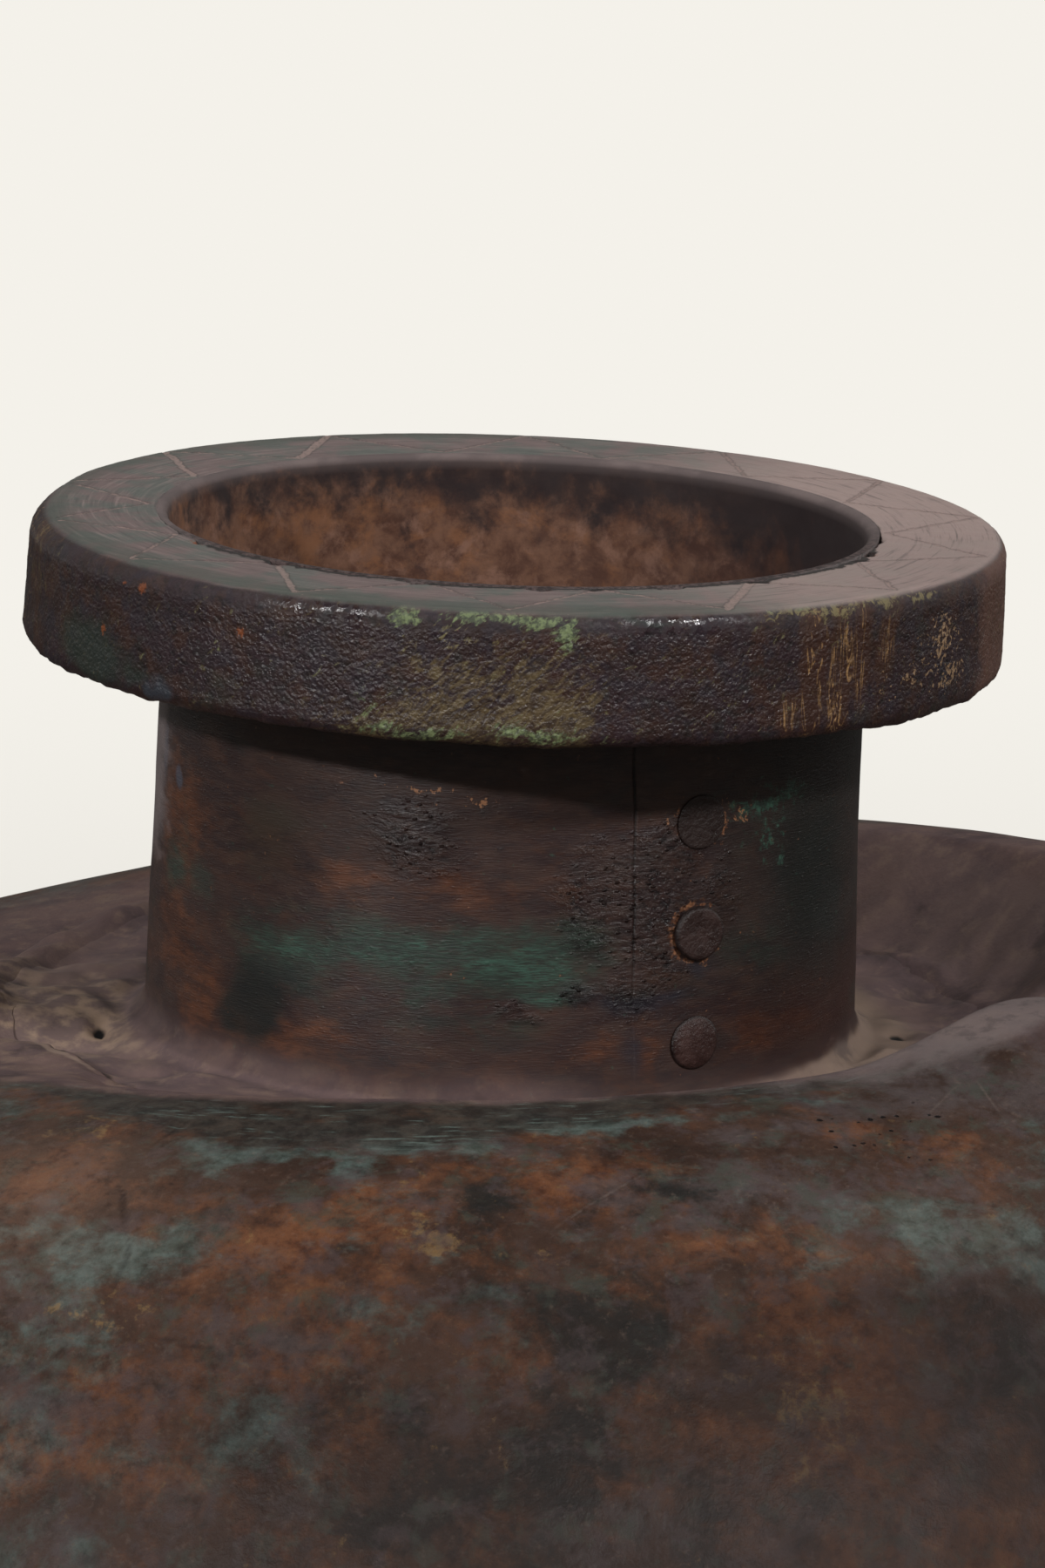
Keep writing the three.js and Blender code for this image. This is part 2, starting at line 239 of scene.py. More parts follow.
# A spot on the shoulder: azimuth in degrees, radius, half width round the mark circle, half length, strength
MARK_CIRCLE = 175
SHOULDER_MARKS = {
    "green": (41, 5, (
        (-24, 186, 22, 9, 1), (-30, 184, 14, 8, 0.9), (-20, 181, 9, 6, 1), (-20, 154, 16, 4, 0.9),
        (-12, 156, 22, 3.5, 1), (-4, 151, 18, 4, 0.9), (-23.5, 209, 12, 13, 0.8), (-11.7, 211, 15, 9, 0.3),
        (-2.6, 192.5, 14, 4, 0.8), (27, 180, 18, 10, 0.9), (32, 188, 16, 14, 0.9), (27.7, 175, 8, 4, 1),
        (22, 172, 7, 4, 0.7), (8, 140, 40, 4, 0.9), (-20, 136, 26, 3, 0.7), (26, 137, 20, 4, 0.7),
        (38, 174, 10, 14, 0.6),
    )),
    "dark": (42, 5, (
        (6, 198, 13, 14, 1.2), (3, 189, 10, 6, 0.7), (3, 217, 10, 8, 0.9), (27, 206, 16, 13, 0.9),
        (-0.3, 167, 8, 6, 0.9), (-18, 173, 6, 6, 0.7), (11.5, 167, 12, 3, 0.9), (-2.4, 221, 24, 9, 0.8),
        (-6, 207, 9, 6, 0.6), (14, 221, 20, 6, 0.5), (-10, 142, 30, 3, 0.6), (24, 144, 16, 4, 0.5),
    )),
    "orange": (43, 5, (
        (-30, 165, 16, 9, 1), (-11, 178, 26, 9, 1), (-12, 201, 22, 8, 0.7), (-20, 216, 22, 4, 0.9),
        (6, 163, 16, 7, 1), (-5, 163, 10, 5, 0.9), (16.5, 195, 20, 9, 0.55), (26, 153.5, 9, 4, 1),
        (34, 163, 10, 6, 0.5), (14, 182, 12, 5, 0.6), (20, 205, 12, 7, 0.6), (-32, 152, 12, 6, 0.7),
        (18, 226, 12, 5, 0.5), (18, 217, 24, 7, 0.8), (26, 225, 18, 6, 0.7),
    )),
    "ochre": (44, 5, (
        (-5.2, 160, 2.4, 2, 1), (-3.5, 178, 9, 4, 0.8), (-22.8, 197, 9, 2.4, 0.8), (15.5, 209, 7, 8, 0.85),
        (-31, 150, 10, 4, 0.6), (-6, 182, 8, 3, 0.5),
    )),
    "purple": (45, 5, (
        (-11.3, 199.5, 12, 5, 0.9), (14.5, 168, 22, 8, 1), (20, 174, 12, 5, 0.8), (6, 222, 18, 5, 0.6),
        (-12, 147, 30, 3, 0.8), (20, 152, 16, 6, 0.8), (-17, 178, 6, 8, 0.6), (34, 144, 30, 8, 1),
        (42, 150, 20, 12, 0.8), (30, 168, 20, 6, 0.6), (40, 137, 26, 7, 1.2),
    )),
    "pits": (46, 5, ((29, 153, 22, 11, 1), (24, 172, 16, 14, 0.4))),
    # The last two are painted light and shade: shade in the middle of the front, and pale painted light to
    # either side
    "middle": (52, 3, ((3.274, 181, 16, 14, 1),)),
    "painted_light_patches": (53, 3, ((-30.121, 170, 30, 22, 1), (29.466, 184, 22, 12, 0.4))),
}

# A painted sheen along the right of the crest: run round the crest, distance from the axis, half sizes,
# strength
PAINTED_CREST_SHEEN = (140.8, 126, 80, 15, 1.3)

# The rim's ochre patch stops short at one azimuth. Rust sits in the mouth's crack. The edge glints in places.
OCHRE_END = 9.6
CRACK_RUST = (-58, -39, -15.3, 3, 24, 70)
CHIP_REACH = 2.0626
GLINTS = (-22, 19, 110, 170, -130)
GLINT_REACH = 9.1673

# Lines on the shoulder as runs of azimuth in degrees and distance from the axis
CREASES = (
    ((-24.9, 144.9), (-26, 159.2), (-27, 168.2)),
    ((-25.6, 169.2), (-23.3, 174.7), (-22, 184.7), (-21.9, 192.2)),
    ((-21.1, 158.1), (-20.4, 170.2)),
    ((-28.6, 194.1), (-25, 196.7), (-21, 199.2), (-13.9, 201.1)),
    ((-25.2, 205.9), (-19.1, 207.4), (-14.4, 209.4)),
    ((-24.7, 219.4), (-21.3, 221.1), (-19, 221.3), (-16, 220.1)),
    ((-36, 129), (-30, 128.6), (-24, 129.4)),
)
SCRATCHES = (
    ((3.2, 176.6), (10.3, 160.6)),
    ((33.2, 151.5), (37.9, 144.9)),
    ((39.9, 144.4), (37.7, 161.5)),
)

# Knocks and pits in the moat, the pits painted dark with shade: place to the right and back of the axis, half
# sizes, and depth of a knock
RECESS_DENTS = (
    (-86, -24, 6, 3.5, 1.6), (-82, -13, 2, 3.5, 2.2), (-85.5, -46, 5.5, 3.5, 1.3), (-72, -54, 6.5, 3.5, 1.3),
    (-48, -65, 6.5, 3, 0.9), (82.6, 0, 3, 3.5, 2), (-95, 22, 12, 9, 2.2), (-80, 40, 14, 8, 1.8),
    (92, 38, 10, 8, 1.4), (-99, -20, 14, 14, 2.5),
)
PAINTED_PIT_SHADE = ((-82, -13, 1.7, 3), (82.6, 0, 2, 2.6), (-84, -47.5, 2, 1), (-71, -55.5, 2, 1))

# How far out the moat's dust and the dark green crest reach: azimuth in degrees and radius
DUST_EDGE = (
    (-180, 130), (-150, 150), (-110, 175), (-80, 158), (-60, 135), (-45, 127.5), (30, 126.5), (36, 128.5),
    (44, 134), (49, 145), (58, 160), (75, 165), (110, 155), (150, 130), (180, 130),
)
CREST_BAND = ((-60, 132), (-40, 138), (-28, 147), (-18, 154), (-5, 152), (5, 144), (15, 136), (45, 131))

# How deep the soot reaches down inside the neck: turn from the front in degrees and depth
INNER_SOOT = (
    (0, 3), (60, 18), (100, 22), (130, 16), (160, 12), (180, 11), (220, 7), (270, 3), (330, 2), (360, 3),
)

# The photograph's camera: a long lens, looking down at the rim, that sees so many metres
LENS_MM = 200
SENSOR_MM = 36
CAMERA_PLACE = (4.98, -1751, 773.4)
CAMERA_PITCH = math.radians(12.28)
VIEW_REACH = 100

# The floor in metres, the sky, and lamps by name, strength, softness, azimuth and elevation in degrees
CREAM = (0.905, 0.88, 0.823, 1)
FLOOR_PAINT = (0.8, 0.78, 0.73, 1)
FLOOR_BOUNCE = (0.3, 0.29, 0.27, 1)
FLOOR_GLOSS = 0.05
FLOOR_ROUGHNESS = 0.9
FLOOR_SPECULAR = 0.1
FLOOR_REACH = 60
FLOOR_FADE = (0.7, 2.2)
SKY_STRENGTH = 0.2
BAND_LEVELS = (0.05, 0.6)
BAND_STRENGTHS = (0.4, 0.1)
LAMPS = (
    ("left_lamp", 1.75, 3, -39, 27.5),
    ("right_lamp", 1.75, 5, 41, 36),
    ("left_back_lamp", 0.35, 30, -122, 28),
    ("right_back_lamp", 0.65, 30, 122, 28),
)

# The neck's own frame: it leans towards +X on the middle of its flange
NECK_FRAME = Matrix.Translation((0, 0, FLANGE_HEIGHT * MM)) @ Matrix.Rotation(NECK_LEAN, 4, "Y")


# Noise and soft shapes on points


def lattice(cell, seed):
    """A repeatable number from -1 to 1 for each whole-number cell."""
    mixed = cell[:, 0] * 73856093 ^ cell[:, 1] * 19349663 ^ cell[:, 2] * 83492791 ^ seed * 2654435761
    mixed = (mixed ^ (mixed >> 13)) * 1274126177 & 0xFFFFFFFF
    mixed = (mixed ^ (mixed >> 16)) * 2246822519 & 0xFFFFFFFF
    return (mixed ^ (mixed >> 15)) % 65536 / 32767.5 - 1


def smooth_noise(points, size, seed):
    """Soft bumps of about the given size, from -1 to 1."""
    shape = points.shape[:-1]
    scaled = points.reshape(-1, 3) / size
    cell = np.floor(scaled).astype(np.int64)
    part = scaled - cell
    ease = part * part * (3 - 2 * part)
    total = np.zeros(len(scaled))
    for corner in np.ndindex(2, 2, 2):
        weight = np.prod(np.where(np.array(corner) == 1, ease, 1 - ease), axis=1)
        total += weight * lattice(cell + np.array(corner), seed)
    return total.reshape(shape)


def rough_noise(points, size, seed, octaves=3):
    """Soft bumps with finer ones on top, each octave half as big and half as strong."""
    return sum(smooth_noise(points, size / 2**k, seed + 17 * k) / 2**k for k in range(octaves))


def relief(points, layers):
    """Soft bumps of several depths and sizes."""
    return sum(depth * smooth_noise(points, size, seed) for depth, size, seed in layers)


def ramp(x, low, high):
    """0 before low, 1 after high, and a smooth rise between."""
    share = np.clip((x - low) / (high - low), 0, 1)
    return share * share * (3 - 2 * share)


def fall(x, low, high):
    """1 before low, 0 after high, and a smooth fall between."""
    return 1 - ramp(x, low, high)


def between(x, start, full, over, end):
    """A smooth rise, 1 for a while, and a smooth fall."""
    return ramp(x, start, full) * fall(x, over, end)


def bell(gap, reach):
    """1 where there is no gap, fading over a reach."""
    return np.exp(-((gap / reach) ** 2))


def turn_between(a, b):
    """The signed angle from b to a, by the short way round."""
    return np.arctan2(np.sin(a - b), np.cos(a - b))


def near(azimuth, at, reach):
    """1 at an azimuth, fading over a reach, both in degrees."""
    return bell(turn_between(azimuth, math.radians(at)), math.radians(reach))


def elsewhere(azimuth, start, end):
    """0 at the front, rising to 1 between two azimuths in degrees on either side."""
    return ramp(np.degrees(np.abs(azimuth)), start, end)


def spot(points, x, y, wide, deep):
    """1 at a place seen from above, fading over its half sizes."""
    return bell(points[..., 0] - x, wide) * bell(points[..., 1] - y, deep)


def max_of(fields):
    """The greatest of several fields at each point."""
    return np.max(list(fields), axis=0)


def level_at(degrees, table):
    """A level read from a table of azimuths and levels."""
    return np.interp(degrees, *np.transpose(table))


# Paths of points, each a radius and a height that may differ from azimuth to azimuth


def point(r, z):
    """One point of a path."""
    return np.stack(np.broadcast_arrays(np.atleast_1d(r), np.atleast_1d(z)))


def line(start, end, count):
    """Points from start up to but not including end."""
    share = np.arange(count)[:, None, None] / count
    return start + (end - start) * share


def arc(centre, radius_r, radius_z, start, end, count):
    """Points on an ellipse's arc, from one angle in degrees up to but not including another."""
    angle = np.radians(start + (end - start) * np.arange(count) / count)[:, None]
    r, z = centre[0] + radius_r * np.cos(angle), centre[1] + radius_z * np.sin(angle)
    return np.stack(np.broadcast_arrays(r, z), axis=1)


def joined(*parts):
    """One path from several, each with as many azimuths as the one with most."""
    parts = [np.asarray(part) if np.ndim(part) == 3 else np.asarray(part)[None] for part in parts]
    columns = max(part.shape[2] for part in parts)
    return np.concatenate([np.broadcast_to(part, (*part.shape[:2], columns)) for part in parts])


def inward(path, distance):
    """The path moved to the left of its direction."""
    along = np.gradient(path, axis=0)
    along /= np.linalg.norm(along, axis=1, keepdims=True)
    return path + distance * np.stack([-along[:, 1], along[:, 0]], axis=1)


def turned(path, azimuths):
    """A grid of points, path by azimuth. Azimuth 0 is -Y and a quarter turn is +X."""
    r, z = path[:, 0], path[:, 1]
    x, y = r * np.sin(azimuths), -r * np.cos(azimuths)
    return np.stack([x, y, np.broadcast_to(z, x.shape)], axis=2)


def even_turn(count):
    """Azimuths all the way round, evenly spaced."""
    return np.arange(count) * 2 * math.pi / count


def closer_turn(count, middle, reach, share):
    """Azimuths all the way round, with a share of them within reach of the middle."""
    near_count = int(count * share)
    far_count = count - near_count
    close = middle - reach + 2 * reach * np.arange(near_count) / near_count
    rest = middle + reach + (2 * math.pi - 2 * reach) * np.arange(far_count) / far_count
    return np.concatenate([close, rest])


def around(grid):
    """Each point's distance from the axis and azimuth."""
    return np.hypot(grid[..., 0], grid[..., 1]), np.arctan2(grid[..., 0], -grid[..., 1])


def on_circle(r, degrees):
    """The place at a radius and azimuth, seen from above."""
    return r * math.sin(math.radians(degrees)), -r * math.cos(math.radians(degrees))


def normals_of(grid):
    """Unit normals of a grid that is closed both ways."""
    down = np.roll(grid, -1, axis=0) - np.roll(grid, 1, axis=0)
    across = np.roll(grid, -1, axis=1) - np.roll(grid, 1, axis=1)
    normal = np.cross(across, down)
    return normal / np.maximum(np.linalg.norm(normal, axis=2, keepdims=True), 1e-12)


def raised(grid, height):
    """The grid with each point moved along its normal."""
    return grid + normals_of(grid) * height[..., None]


# Marks on a surface


def spread(across, along, spots, points, seed, waver=3):
    """How strongly soft-edged spots cover each point, their edges bent by noise."""
    across = across + waver * rough_noise(points, 9, seed)
    along = along + waver * rough_noise(points, 9, seed + 5)
    cover = np.zeros(across.shape)
    for at_across, at_along, wide, tall, strength in spots:
        cover = np.maximum(cover, strength * bell(across - at_across, wide) * bell(along - at_along, tall))
    return cover


def marks(listed, radius, azimuth, level, points):
    """The cover of each listed mark, whose spots have their azimuth in degrees on a circle."""
    marked = {}
    for name, (seed, waver, spots) in listed.items():
        on_wall = [(radius * math.radians(turn), *rest) for turn, *rest in spots]
        marked[name] = spread(radius * azimuth, level, on_wall, points, seed, waver)
    return marked


def drifted(points, side):
    """The cover of patina that comes by chance at the sides and back."""
    return {
        name: least + side * ramp(sign * rough_noise(points, size, seed, 4), low, high)
        for name, (size, seed, sign, low, high, least) in DRIFTS.items()
    }


def gap_to_run(grid, run):
    """Distance of each point, seen from above, to a run of azimuths in degrees and radii."""
    corners = [on_circle(r, turn) for turn, r in run]
    gap = np.full(grid.shape[:2], np.inf)
    for start, end in zip(corners, corners[1:]):
        along = np.subtract(end, start)
        offset = grid[..., :2] - np.array(start)
        share = np.clip(offset @ along / (along @ along), 0, 1)
        gap = np.minimum(gap, np.linalg.norm(offset - share[..., None] * along, axis=2))
    return gap


# Pieces


def placed(name, data):
    """A new object in the scene."""
    made = bpy.data.objects.new(name, data)
    bpy.context.scene.collection.objects.link(made)
    return made


def finished(mesh, node, material, matrix=None):
    """A smooth-shaded piece in the place of a CAD node."""
    mesh.polygons.foreach_set("use_smooth", np.ones(len(mesh.polygons), bool))
    if matrix:
        mesh.transform(matrix)
    mesh.materials.append(material)
    mesh.update()
    piece = placed(mesh.name, mesh)
    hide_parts(node)
    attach(piece, "root")


def grid_mesh(name, grid, marked, ends_meet=True):
    """A closed mesh from a grid of points. Where the ends don't meet, they are drawn in to the axis."""
    rows, columns = grid.shape[:2]
    i, j = np.meshgrid(np.arange(rows if ends_meet else rows - 1), np.arange(columns), indexing="ij")
    i2, j2 = (i + 1) % rows, (j + 1) % columns
    faces = np.stack([i * columns + j, i * columns + j2, i2 * columns + j2, i2 * columns + j], axis=2)
    mesh = bpy.data.meshes.new(name)
    mesh.from_pydata((grid * MM).reshape(-1, 3).tolist(), [], faces.reshape(-1, 4).tolist())
    for mark, values in marked.items():
        mesh.attributes.new(mark, "FLOAT", "POINT").data.foreach_set("value", values.ravel())
    if not ends_meet:
        work = bmesh.new()
        work.from_mesh(mesh)
        bmesh.ops.remove_doubles(work, verts=work.verts, dist=1e-6)
        work.to_mesh(mesh)
        work.free()
    return mesh


# The body


def shoulder_lift(r, azimuth):
    """How far the knocks and the neck's lean move the shoulder at a radius and azimuth."""
    knocked = sum(lift * near(azimuth, at, reach) for at, reach, lift in KNOCKS)
    lean = math.tan(NECK_LEAN) * r * np.sin(azimuth) * fall(r, FLANGE_RADIUS, BODY_RADIUS)
    return knocked * between(r, FLANGE_RADIUS, CREST_RADIUS, CREST_RADIUS, BODY_RADIUS) - lean


def wall_lean(r, azimuth):
    """How far out the moat's leaning wall is pushed at a radius and azimuth."""
    at, reach, shift = LEANING_WALL
    return shift * near(azimuth, at, reach) * between(r, FLANGE_RADIUS, CREST_RADIUS, CREST_RADIUS, LEAN_END)


def recess_lift(points):
    """Soft lumps and knocks in the floor of the moat, fading at the neck's foot and the crest."""
    r, azimuth = around(points)
    flat = points * np.array([1, 1, 0])
    lumps = 2.3 * rough_noise(flat, 24, 74) + 0.6 * rough_noise(flat, 9, 79)
    lift = elsewhere(azimuth, *MOAT_FRONT) * lumps
    for *place, depth in RECESS_DENTS:
        lift = lift - depth * spot(points, *place)
    return lift * between(r, *MOAT_LUMPS)


def recess_marks(points):
    """Painted shade in the moat's pits, a painted highlight on the ragged lap edge with a painted shadow
    under it, pale dust with painted light on the moat's left, and painted light on its right wall.
    """
    r, azimuth = around(points)
    ragged = near(azimuth, *RAGGED_LAP)
    past_lap = r - LAP_END - lap_waver(azimuth)
    in_moat = between(r, *MOAT_DUST)
    return {
        # Painted shade in the moat's pits
        "painted_pit_shade": max_of(spot(points, *pit) for pit in PAINTED_PIT_SHADE),
        # A painted highlight on the lap's raised edge, and a painted shadow under it
        "lap_painted_highlight": ragged * bell(past_lap - 2, 1.6),
        "lap_painted_shadow": ragged * bell(past_lap + 0.8, 1.5),
        # Pale dust with painted light on the left of the moat
        "left_dust_and_painted_light": in_moat * near(azimuth, *LEFT_DUST_AND_PAINTED_LIGHT),
        # Painted light lifting the neck's shadow on the moat's right wall
        "light": in_moat * ramp(r, 100, 114) * near(azimuth, *RIGHT_PAINTED_LIGHT),
    }


def lap_waver(azimuth):
    """How far the lap's edge strays in and out."""
    circle = np.stack([np.sin(azimuth), np.cos(azimuth), 0 * azimuth], axis=-1) * FLANGE_RADIUS
    return 1.3 * rough_noise(circle, 11, 38)


def lap_edge(azimuths):
    """The shoulder's edge, let into the collar's flange except where it is ragged and raised."""
    tip = FLANGE_HEIGHT - LET_IN + (RAGGED_LIFT + LET_IN) * near(azimuths, *RAGGED_LAP)
    end = LAP_END + lap_waver(azimuths)
    share = np.array([*np.arange(0, 1, 0.1), 0.97, 0.985, 1])[:, None]
    r = FLANGE_RADIUS + (end - FLANGE_RADIUS) * share
    z = LAP_TOP + (tip - LAP_TOP) * ramp(share, 0.1, 0.97) - 0.15 * ramp(share, 0.98, 1)
    return np.stack([r, z], axis=1)


def shoulder_path(azimuths):
    """Up the outside from the skirt over the crest and the moat to the lap, and back inside."""
    share = np.arange(16) / 16
    moat_r = CREST_RADIUS + (FLANGE_RADIUS - CREST_RADIUS) * share
    moat_z = CREST_HEIGHT + (LAP_TOP - CREST_HEIGHT) * ramp(share, 0, 1)
    dome = ((CREST_RADIUS, SKIRT_TOP), BODY_RADIUS - CREST_RADIUS, CREST_HEIGHT - SKIRT_TOP)
    outside = joined(
        line(point(BODY_RADIUS, SKIRT_FOOT), point(BODY_RADIUS, SKIRT_TOP), 6),
        arc(*dome, 0, 36, 18),
        arc(*dome, 36, 90, 100),
        np.stack([moat_r, moat_z], axis=1)[..., None],
        lap_edge(azimuths),
    )
    inside = inward(outside, BODY_WALL)[::-8]
    under_lap = inside[:, 0] < FLANGE_RADIUS + 1
    inside[:, 1] = np.where(under_lap, np.maximum(inside[:, 1], FLANGE_HEIGHT - 0.5), inside[:, 1])
    return joined(outside, inside)


def shoulder_marks(grid, r, azimuth, creases):
    """The shoulder's patina, with the dust of the moat and the dark green band on its crest, painted shade
    low down and in its creases, and painted light on the crest's right and in broad patches.
    """
    degrees = np.degrees(azimuth)
    side = elsewhere(azimuth, *SHOULDER_FRONT)
    marked = marks(SHOULDER_MARKS, MARK_CIRCLE, azimuth, r, grid)
    for name, cover in drifted(grid, side).items():
        marked[name] += cover
    strayed = r + 2 * rough_noise(grid, 12, 46)
    dust_edge = level_at(degrees, DUST_EDGE)
    band_edge = level_at(degrees, CREST_BAND)
    marked["dust"] = fall((strayed - dust_edge) / (dust_edge - 122), -0.5, 0.5)
    marked["crest"] = fall(strayed, band_edge - 6, band_edge + 3)
    # Painted sheen along the right of the crest
    marked["painted_crest_sheen"] = spread(r * azimuth, r, [PAINTED_CREST_SHEEN], grid, 51)
    marked["orange"] -= 0.6 * ramp(marked["purple"], 0.6, 1.3)
    marked["orange"] -= between(degrees, 25, 35, 50, 65) * (0.25 + 0.6 * fall(r, 148, 158))
    marked["pits"] = (marked["pits"] + 0.5 * side) * (1 - marked["dust"])
    # Painted shade along the shoulder's creases
    marked["painted_crease_shade"] = bell(creases, 0.9) * (0.6 + 0.6 * smooth_noise(grid, 12, 49))
    # Painted shade: darker towards the shoulder's foot, more on the front's lower right and middle, less on
    # its left
    strayed = r + 8 * rough_noise(grid, 40, 48)
    right = 0.6 * ramp(degrees, 8, 14) * ramp(strayed, 182, 194)
    front = right + 0.3 * marked.pop("middle") - 0.35 * fall(degrees, -24, -8)
    marked["low"] = np.clip(ramp(strayed, 168, 226) + (1 - side) * front, 0, 1.35)
    marked.update(recess_marks(grid))
    return marked


def shoulder_sheet(material):
    azimuths = closer_turn(SHOULDER_POINTS, 0, math.radians(46), 0.56)
    grid = turned(shoulder_path(azimuths), azimuths)
    r, azimuth = around(grid)
    grid[..., 2] += shoulder_lift(r, azimuth) + recess_lift(grid)
    grid[..., :2] *= 1 + (wall_lean(r, azimuth) / r)[..., None]
    free = between(r, FLANGE_RADIUS, CREST_RADIUS, BODY_RADIUS - 14, BODY_RADIUS - 4)
    bent = grid + 1.2 * rough_noise(grid, 9, 47)[..., None]
    creases = np.min([gap_to_run(bent, run) for run in CREASES], axis=0)
    grid = raised(grid, free * relief(grid, HAMMERED) - CREASE_DEPTH * bell(creases, CREASE_WIDTH))
    mesh = grid_mesh("shoulder_sheet", grid, shoulder_marks(grid, r, azimuth, creases))
    finished(mesh, "shoulder_shell", material)


def bowl_sheet(material):
    outside = joined(
        line(point(0, 0), point(BASE_RADIUS, 0), 20),
        arc((BASE_RADIUS, SKIRT_FOOT), BOWL_RADIUS - BASE_RADIUS, SKIRT_FOOT, -90, 0, 96),
        line(point(BOWL_RADIUS, SKIRT_FOOT), point(BOWL_RADIUS, SKIRT_TOP), 8),
        point(BOWL_RADIUS, SKIRT_TOP),
    )
    inside = inward(outside, BODY_WALL)[::-4]
    grid = turned(joined(outside, inside, point(0, BODY_WALL)), even_turn(BOWL_POINTS))
    free = between(grid[..., 2], 4, 24, SKIRT_FOOT - 12, SKIRT_FOOT - 2)
    grid = raised(grid, free * relief(grid, HAMMERED))
    marked = drifted(grid, 1)
    # The bowl gets the same painted shade as the shoulder's foot
    marked.update({"pits": np.full(free.shape, 0.5), "low": np.full(free.shape, 0.6)})
    mesh = grid_mesh("bowl_sheet", grid, marked, ends_meet=False)
    finished(mesh, "bowl_shell", material)


# The neck


def mouth_crack(azimuth):
    """1 where the crack round the mouth gapes at the front, 0 where it has closed up behind."""
    return fall(np.degrees(np.abs(turn_between(azimuth, CRACK_MIDDLE))), *CRACK_CLOSING)


def lip_round(azimuth):
    """The rounding of the collar's lip, sharper along the crack."""
    return LIP_ROUND + 1 - mouth_crack(azimuth)


def collar_path(azimuths):
    """The outside from the flange up to the mouth, and the whole section round the lip and back inside."""
    foot = (FOOT_RADIUS + FOOT_FILLET, FOOT_FILLET)
    rounding = lip_round(azimuths)
    inner = LIP_RADIUS - NECK_WALL + rounding
    outside = joined(
        line(point(FLANGE_RADIUS, 0), point(foot[0], 0), 24),
        arc(foot, FOOT_FILLET, FOOT_FILLET, 270, 180, 8),
        line(point(FOOT_RADIUS, FOOT_FILLET), point(NECK_RADIUS, RIM_FOOT), 76),
        line(point(NECK_RADIUS, RIM_FOOT), point(LIP_RADIUS, NECK_HEIGHT), 8),
        point(LIP_RADIUS, NECK_HEIGHT),
    )
    lip = joined(
        line(point(LIP_RADIUS - 0.3, NECK_HEIGHT), point(inner, NECK_HEIGHT), 2),
        arc((inner, NECK_HEIGHT - rounding), rounding, rounding, 90, 180, 5),
    )
    return outside, joined(outside, lip, inward(outside, NECK_WALL)[-2::-3])


def past_seam(grid, azimuth):
    """How far each point is past the collar's slanting, wavering seam."""
    foot, top = np.radians(SEAM_TURN)
    seam = foot + (top - foot) * grid[..., 2] / RIM_FOOT + 0.004 * rough_noise(grid, 10, 71)
    return NECK_RADIUS * turn_between(azimuth, seam)


def flange_lift(grid, r, azimuth, outer):
    """The flange's lumps, filled up to the shoulder's lap, and sunk under the lap where that is ragged."""
    past_lap = r - LAP_END - lap_waver(azimuth)
    ragged = near(azimuth, *RAGGED_LAP)
    filled = np.clip(past_lap / 4, 0, 1) ** 2 - 1.2 * ramp(past_lap, 4.2, 7)
    return recess_lift(grid) + outer * ((1 - ragged) * filled - 0.6 * ragged * ramp(past_lap, -1.2, 0.2))


def collar_marks(grid, r, azimuth, height, outer):
    """The neck's patina, the dust at its foot and the soot inside, with painted shade under the ring and down
    its right side, and dust with a painted sheen on its left edge.
    """
    degrees = np.degrees(azimuth)
    bare = outer & (height < RIM_FOOT)
    wall = bare & (r < FOOT_RADIUS + 3)
    side = elsewhere(azimuth, *NECK_FRONT)
    drift = rough_noise(grid * np.array([1, 1, 2.5]), 30, 75, 4)
    rust_drift = rough_noise(grid * np.array([1, 1, 1.6]), 26, 76, 4)
    dust_end = FOOT_RADIUS + 4.5 - 2.8 * ramp(degrees, 30, 60)
    dusty = ramp(r + 0.6 * rough_noise(grid, 10, 78), FOOT_RADIUS - 0.2, dust_end)
    climbed = 0.5 * fall(height + 2 * smooth_noise(grid, 18, 80), 1, 12) * fall(degrees, 0, 30)
    marked = marks(NECK_MARKS, NECK_RADIUS, azimuth, height, grid)
    marked["orange"] += side * ramp(rust_drift, 0, 0.8)
    marked["green"] += side * ramp(drift, 0.1, 0.8)
    marked["dark"] += side * ramp(-drift, 0.2, 0.9)
    marked["olive"] += 0.6 * side
    marked["pits"] += 0.4 * side
    marked.update(recess_marks(grid))
    marked.update({
        "halo": rivet_halo(azimuth, height),
        "dust": bare * np.maximum(dusty, climbed),
        "foot": bare * fall(height, 4, 11),
        "pale": ramp(degrees, 25, 70) * fall(r, 82, 90),
        # Painted shade: the neck's right side darkened, green-black above and red-brown low down
        "deep": wall * between(degrees, 24, 58, 95, 130),
        "low": wall * fall(height + 5 * rough_noise(grid, 16, 90), 12, 30),
        # Painted shade: the neck darkened just under the ring
        "under": wall * ramp(height, 58, 74),
        # Dust and a painted sheen along the neck's left edge
        "edge_dust_and_painted_sheen": near(azimuth, *EDGE_DUST_AND_PAINTED_SHEEN) * ramp(height, 26, 50),
        "inside": 1.0 - outer,
        "lip": ramp(height, NECK_HEIGHT - lip_round(azimuth), NECK_HEIGHT - 0.2),
        "rear": 1 - mouth_crack(azimuth),
        "soot": level_at(degrees % 360, INNER_SOOT) - (NECK_HEIGHT - height),
        "far_right": near(azimuth, *DARK_INSIDE),
    })
    return marked


